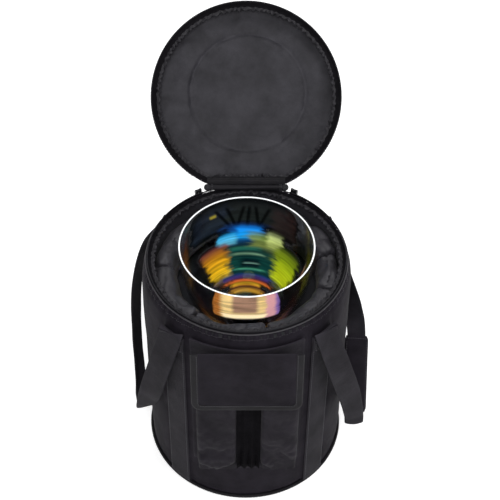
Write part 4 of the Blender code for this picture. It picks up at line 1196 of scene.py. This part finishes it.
def make_flap():
    """The flap's cloth panel, its bound edge with stitches, and the hook strip inside."""
    edge = flap_edge(0.0705, 0.1035, 0.006, 0.0012)
    edge += [(-0.0705 + 0.141 * k / 40, 0.0012) for k in range(1, 40)]
    middle = 0.052

    def shrunk(share, out):
        return [(x * share, middle + (d - middle) * share, out) for x, d in edge]

    shares = (0.02, 0.12, 0.24, 0.36, 0.48, 0.6, 0.7, 0.8, 0.88, 0.95, 1.0)
    front = [shrunk(share, 0.0022) for share in shares]
    back = [shrunk(share, 0.0) for share in (1.0, 0.5, 0.02)]

    def shape(x, d, out):
        if out > 0.001:
            out += 0.0009 * wobble(x, d, 0.0, 0.035, 3.0) - 0.0009 * crease(x, d, 0.0, 0.05, 5.0)
            out += 0.0008 * ease(abs(x), 0.07, 0.03)
            out *= 0.35 + 0.65 * ease(d, 0.001, 0.014)
        return on_flap(x, d, out)

    rows = np.array([[shape(*p) for p in loop] for loop in front + back]).transpose(1, 0, 2)
    grid("flap_cloth", rows, LOOKS["panel"], "pocket_flap", wrap_u=True, caps="v",
         stands_for=("flap_panel",), slot="shell")
    rib = flap_edge(0.0750, 0.1080, 0.0105, 0.0012)
    path, sides = [], []
    for k, (x, d) in enumerate(rib):
        x2, d2 = rib[min(k + 1, len(rib) - 1)]
        x1, d1 = rib[max(k - 1, 0)]
        ripple = 0.0004 * wobble(x, d, 0.0, 0.02, 2.0)
        path.append(on_flap(x, d, 0.0014 + ripple))
        step = np.array(on_flap(x2, d2, 0.0)) - np.array(on_flap(x1, d1, 0.0))
        face = np.array(on_flap(0, 0, 1.0)) - np.array(on_flap(0, 0, 0.0))
        sides.append(np.cross(unit(step), unit(face)))
    sweep("flap_edge_tape", path, sides, round_section(0.0108, 0.0032), LOOKS["binding"], "pocket_flap",
          stands_for=("flap_binding",), slot="binding")
    face = np.array(on_flap(0, 0, 1.0)) - np.array(on_flap(0, 0, 0.0))
    row = [on_flap(x, d, 0.0031) for x, d in flap_edge(0.0715, 0.1045, 0.0075, 0.002)]
    stitches("flap_stitches", [(row, face)], LOOKS["thread"], "pocket_flap",
             length=0.0026, gap=0.0014, slot="binding")
    ends = ((-0.06, 0.101), (0.06, 0.101), (0.06, 0.092), (-0.06, 0.092))
    corners = [on_flap(x, d, -0.0003) for x, d in ends]
    strip_piece("hook_cloth", corners, 0.0011, "pocket_flap", ("hook_strip",), normal=tuple(-face))


# ---------------------------------------------------------------- webbing

def make_bands():
    """Webbing bands sewn down the bag, with the folded ends of the handles sewn on top."""
    lines = []
    for name, middle in BANDS.items():
        heights = np.linspace(0.0085, BAND_TOP, 70)
        angles = np.linspace(middle - BAND_HALF, middle + BAND_HALF, 15)
        rows = []
        for angle in angles:
            rim = abs(angle - middle) / BAND_HALF
            thick = 0.0019 * (1 - 0.45 * ease(rim, 0.86, 1.0))
            face = []
            for z in heights:
                x, y, _ = polar(0.157, angle, z)
                wave = 0.0003 * wobble(x, y, z, 0.04, 4.0)
                face.append(polar(BAND_FACE + thick + wave, angle, z))
            back = [polar(BAND_FACE - 0.0001, angle, z) for z in reversed(heights)]
            rows.append(face + back)
        grid("band_cloth_" + name, rows, LOOKS["webbing"], "bag", wrap_v=True, caps="u",
             stands_for=("band_" + name,), slot="webbing")
        for shift in (-0.88, 0.88):
            angle = middle + shift * BAND_HALF
            line = [polar(0.1589, angle, z) for z in np.linspace(0.010, BAND_TOP - 0.001, 120)]
            lines.append((line, polar(1.0, angle, 0.0)))
        patch = []
        for angle in np.linspace(middle - BAND_HALF * 0.98, middle + BAND_HALF * 0.98, 15):
            rim = abs(angle - middle) / BAND_HALF
            thick = 0.0018 * (1 - 0.45 * ease(rim, 0.86, 1.0))
            face = [polar(0.1588 + thick * ease(z, 0.3405, 0.3415), angle, z)
                    for z in np.linspace(0.3400, 0.3722, 12)]
            back = [polar(0.1587, angle, z) for z in np.linspace(0.3722, 0.3400, 12)]
            patch.append(face + back)
        grid("handle_end_" + name, patch, LOOKS["webbing"], "bag", wrap_v=True, caps="u", slot="webbing")
        box = [(-0.8, 0.3425), (0.8, 0.3425), (0.8, 0.3650), (-0.8, 0.3650), (-0.8, 0.3425), (0.8, 0.3650)]
        route = []
        for (a0, z0), (a1, z1) in zip(box, box[1:]):
            for t in np.linspace(0.0, 1.0, 20):
                route.append(polar(0.1609, middle + BAND_HALF * (a0 + (a1 - a0) * t), z0 + (z1 - z0) * t))
        outs = [unit(np.array([p[0], p[1], 0.0])) for p in route]
        lines.append((route, outs))
    stitches("band_stitches", lines, LOOKS["thread"], "bag", slot="webbing")


def webbing(name, stops, node, samples, bow):
    """A handle of flat webbing through stops of (point, across direction, width)."""
    path = curve_through([p for p, _, _ in stops], samples)
    across = curve_through([unit(np.array(a, float)) * w for _, a, w in stops], samples)
    widths = np.linalg.norm(across, axis=1)
    section = round_section(WEB_WIDTH, WEB_THICK)
    rows = []
    count = len(path)
    for i in range(count):
        along = unit(path[min(i + 1, count - 1)] - path[max(i - 1, 0)])
        side = unit(across[i] - along * across[i].dot(along))
        out = np.cross(along, side)
        squeeze = widths[i] / WEB_WIDTH
        cup = bow * max(0.0, 1.0 - squeeze) * 0.02
        twist = 0.0005 * wobble(*path[i], 0.03, 3.0)
        row = []
        for w, d in section:
            t = 2.0 * w / WEB_WIDTH
            row.append(path[i] + side * w * squeeze + out * (d + cup * (1 - t * t) + twist * t))
        rows.append(row)
    obj = grid(name, rows, LOOKS["webbing"], None, wrap_v=True, caps="u", slot="webbing")
    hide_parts(node)
    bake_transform(obj)
    return path, across


def make_handles():
    """Two webbing loops, folded over the tops of the bands and hanging beside the bag."""
    left = [
        ((-0.1076, -0.1188, 0.3722), (0.743, -0.669, 0.0), 0.0395),
        ((-0.1084, -0.1200, 0.3742), (0.743, -0.669, 0.0), 0.0395),
        ((-0.1095, -0.1222, 0.3700), (0.743, -0.669, 0.0), 0.0395),
        ((-0.1270, -0.1170, 0.300), (0.76, -0.62, 0.10), 0.039),
        ((-0.1450, -0.1020, 0.215), (0.80, -0.50, 0.30), 0.036),
        ((-0.1580, -0.0760, 0.145), (0.85, -0.20, 0.45), 0.028),
        ((-0.1640, -0.0450, 0.118), (0.75, 0.35, 0.50), 0.024),
        ((-0.1690, -0.0100, 0.150), (0.45, 0.75, -0.45), 0.028),
        ((-0.1720, 0.0200, 0.220), (0.30, 0.90, -0.30), 0.036),
        ((-0.1690, 0.0550, 0.290), (0.35, 0.90, -0.10), 0.039),
        ((-0.1500, 0.0900, 0.342), (0.55, 0.80, 0.0), 0.0395),
        ((-0.1185, 0.1130, 0.3725), (0.70, 0.71, 0.0), 0.0395),
    ]
    webbing("handle_web_left", left, "handle_left", 150, 0.5)
    right = [
        ((0.1110, -0.1160, 0.3722), (0.743, 0.669, 0.0), 0.0395),
        ((0.1118, -0.1172, 0.3742), (0.743, 0.669, 0.0), 0.0395),
        ((0.1135, -0.1190, 0.3700), (0.743, 0.669, 0.0), 0.0395),
        ((0.1360, -0.1180, 0.292), (0.76, 0.62, 0.10), 0.0395),
        ((0.1580, -0.1060, 0.205), (0.85, 0.45, 0.20), 0.036),
        ((0.1690, -0.0960, 0.140), (0.95, 0.20, 0.15), 0.030),
        (GRIP_START, (1.0, -0.05, 0.0), 0.029),
        (GRIP_END, (1.0, -0.05, 0.0), 0.029),
        ((0.1700, 0.0660, 0.216), (0.85, -0.45, 0.0), 0.034),
        ((0.1520, 0.0920, 0.280), (0.60, -0.78, 0.0), 0.0395),
        ((0.1330, 0.1080, 0.336), (0.66, -0.74, 0.0), 0.0395),
        ((0.1172, 0.1160, 0.3725), (0.743, -0.669, 0.0), 0.0395),
    ]
    webbing("handle_web_right", right, "handle_right", 170, 0.5)


def make_grip():
    """The padded grip: two quilted halves with bound edges round the right handle."""
    start, end = np.array(GRIP_START), np.array(GRIP_END)
    along = unit(end - start)
    across = unit(np.array([1.0, 0.0, 0.0]) - along * along[0])
    facing = np.cross(across, along)
    first = start + along * 0.006
    length = np.linalg.norm(end + along * 0.002 - first)
    for name, side, body in (("grip_base", -1.0, "handle_right"), ("grip_flap", 1.0, "grip_flap")):
        rows = []
        steps = 60
        for i in range(steps + 1):
            t = i / steps
            taper = 1 - 0.10 * (ease(t, 0.05, 0.0) + ease(t, 0.95, 1.0))
            section = []
            for k in range(25):
                angle = math.pi * k / 24
                w = GRIP_HALF * math.cos(angle)
                n = 0.0003 + GRIP_THICK * math.sin(angle) ** 0.55
                puff = 0.0007 * math.sin(math.pi * t) + 0.0006 * wobble(w, t * 0.12, n, 0.02, side + 3)
                section.append((w * taper, (n + puff * math.sin(angle)) * taper))
            hollow = [(-0.0155, 0.0003), (-0.0155, 0.0045), (-0.008, 0.0055), (0.0, 0.0055)]
            section += hollow + [(-w, n) for w, n in reversed(hollow[:-1])]
            centre = first + along * length * t
            rows.append([centre + across * w + facing * n * side for w, n in section])
        obj = grid(name + "_pad", rows, LOOKS["panel"], body, wrap_v=True, caps="u", stands_for=(name,),
                   slot="pad", sharp=40.0)
        lines = []
        for t in (0.045, 0.955):
            points, outs = [], []
            for k in range(2, 23):
                angle = math.pi * k / 24
                w = GRIP_HALF * math.cos(angle)
                n = 0.0003 + GRIP_THICK * math.sin(angle) ** 0.55
                out = across * math.cos(angle) + facing * side * math.sin(angle)
                points.append(first + along * length * t + across * w + facing * n * side + out * 0.0002)
                outs.append(out)
            lines.append((points, outs))
        for w in (-0.0158, 0.0158):
            points = []
            for t in np.linspace(0.05, 0.95, 40):
                n = 0.0003 + GRIP_THICK * math.sin(math.acos(w / GRIP_HALF)) ** 0.55 + 0.0004
                points.append(first + along * length * t + across * w + facing * n * side)
            lines.append((points, facing * side))
        stitches(name + "_stitches", lines, LOOKS["thread"], body, length=0.0025, gap=0.0014, slot="pad")


def make_sliders():
    """Zip sliders with a narrow waist, and the pull tabs that hang from them."""
    for name, middle in SLIDERS:
        rows = []
        for i in range(13):
            t = i / 12.0
            angle = middle + SLIDER_TURN * (t - 0.5)
            waist = 1 - 0.25 * math.sin(math.pi * t) ** 2 + 0.12 * abs(2 * t - 1)
            half = 0.0040 * min(1.0, waist)
            centre = H + 0.0058
            row = []
            for a in turns(16):
                r = SLIDER_RADIUS + 0.0021 * squared(math.cos(a), 0.6)
                row.append(polar(r, angle, centre + half * squared(math.sin(a), 0.6)))
            rows.append(row)
        grid("slider_metal_" + name, rows, LOOKS["slider"], "slider_" + name, wrap_v=True, caps="u",
             stands_for=("zip_slider_" + name,), slot="slider", sharp=35.0)
        rows = []
        for i in range(25):
            t = i / 24.0
            z = H + 0.006 - TAB_DROP * t
            r = 0.1518 + 0.0059 * t + 0.00075
            half = math.degrees((0.0018 + 0.0012 * ease(t, 0.25, 0.45) - 0.0009 * ease(t, 0.9, 1.0)) / r)
            thick = 0.0006 + 0.0003 * ease(t, 0.3, 0.4)
            row = []
            for a in turns(12):
                row.append(polar(r + thick * math.sin(a), middle + half * squared(math.cos(a), 0.5), z))
            rows.append(row)
        grid("tab_metal_" + name, rows, LOOKS["slider"], "tab_" + name, wrap_v=True, caps="u",
             stands_for=("pull_tab_" + name,), slot="slider", sharp=35.0)


# ---------------------------------------------------------------- stage

CAMERA_PLACE = (-0.0179, -1.3198, 1.852)
CAMERA_TILT = 42.64
CAMERA_LENS = 96.27
CAMERA_SHIFT = 0.031
LAMPS = (
    # name, place, size in metres, power in watts
    ("key", (-0.20, -1.40, 2.15), 1.0, 30.0),
    ("fill", (1.4, -1.0, 1.3), 1.0, 11.0),
    ("top", (0.2, 0.3, 2.4), 0.8, 16.0),
    ("back", (0.0, 1.9, 1.3), 1.2, 12.0),
)
LAMPS_AIM = Vector((0.0, 0.0, 0.32))


def make_stage():
    """Pale floor, soft light and the camera."""
    mesh = bpy.data.meshes.new("floor")
    mesh.from_pydata([(-6, -6, 0), (6, -6, 0), (6, 6, 0), (-6, 6, 0)], [], [(0, 1, 2, 3)])
    floor = bpy.data.objects.new("floor", mesh)
    floor.location.z = -0.0005
    look = Look("floor_paper")
    solid = look.add("ShaderNodeTexCoord").outputs["Object"]
    grain = look.add("ShaderNodeTexNoise", {"Vector": solid, "Scale": 60.0}).outputs["Fac"]
    look.set(Base_Color=look.ramp(grain, [(0.3, (0.93, 0.93, 0.93)), (0.7, (0.95, 0.95, 0.95))]))
    look.set(Roughness=0.9, Emission_Color=(1.0, 1.0, 1.0, 1.0), Emission_Strength=0.45)
    mesh.materials.append(look.material)
    bpy.context.scene.collection.objects.link(floor)

    world = bpy.data.worlds.new("studio")
    world.use_nodes = True
    world.node_tree.nodes["Background"].inputs[0].default_value = (1.0, 1.0, 1.0, 1.0)
    world.node_tree.nodes["Background"].inputs[1].default_value = 0.27
    bpy.context.scene.world = world
    for name, place, size, power in LAMPS:
        lamp = bpy.data.lights.new(name, "AREA")
        lamp.shape = "DISK"
        lamp.size = size
        lamp.energy = power
        obj = bpy.data.objects.new(name, lamp)
        obj.location = place
        aim = LAMPS_AIM - Vector(place)
        obj.rotation_euler = aim.to_track_quat("-Z", "Y").to_euler()
        bpy.context.scene.collection.objects.link(obj)

    camera_data = bpy.data.cameras.new("camera")
    camera_data.lens = CAMERA_LENS
    camera_data.sensor_width = 36.0
    camera_data.shift_x = CAMERA_SHIFT
    camera = bpy.data.objects.new("camera", camera_data)
    camera.location = CAMERA_PLACE
    camera.rotation_euler = (math.radians(CAMERA_TILT), 0.0, 0.0)
    bpy.context.scene.collection.objects.link(camera)
    bpy.context.scene.camera = camera
    bpy.context.scene.view_settings.view_transform = "Standard"


make_stage()
dress_cad_nodes()
make_walls()
make_rim()
make_hinge()
make_pads()
make_lid()
make_bowl()
make_pocket()
make_flap()
make_bands()
make_handles()
make_grip()
make_sliders()
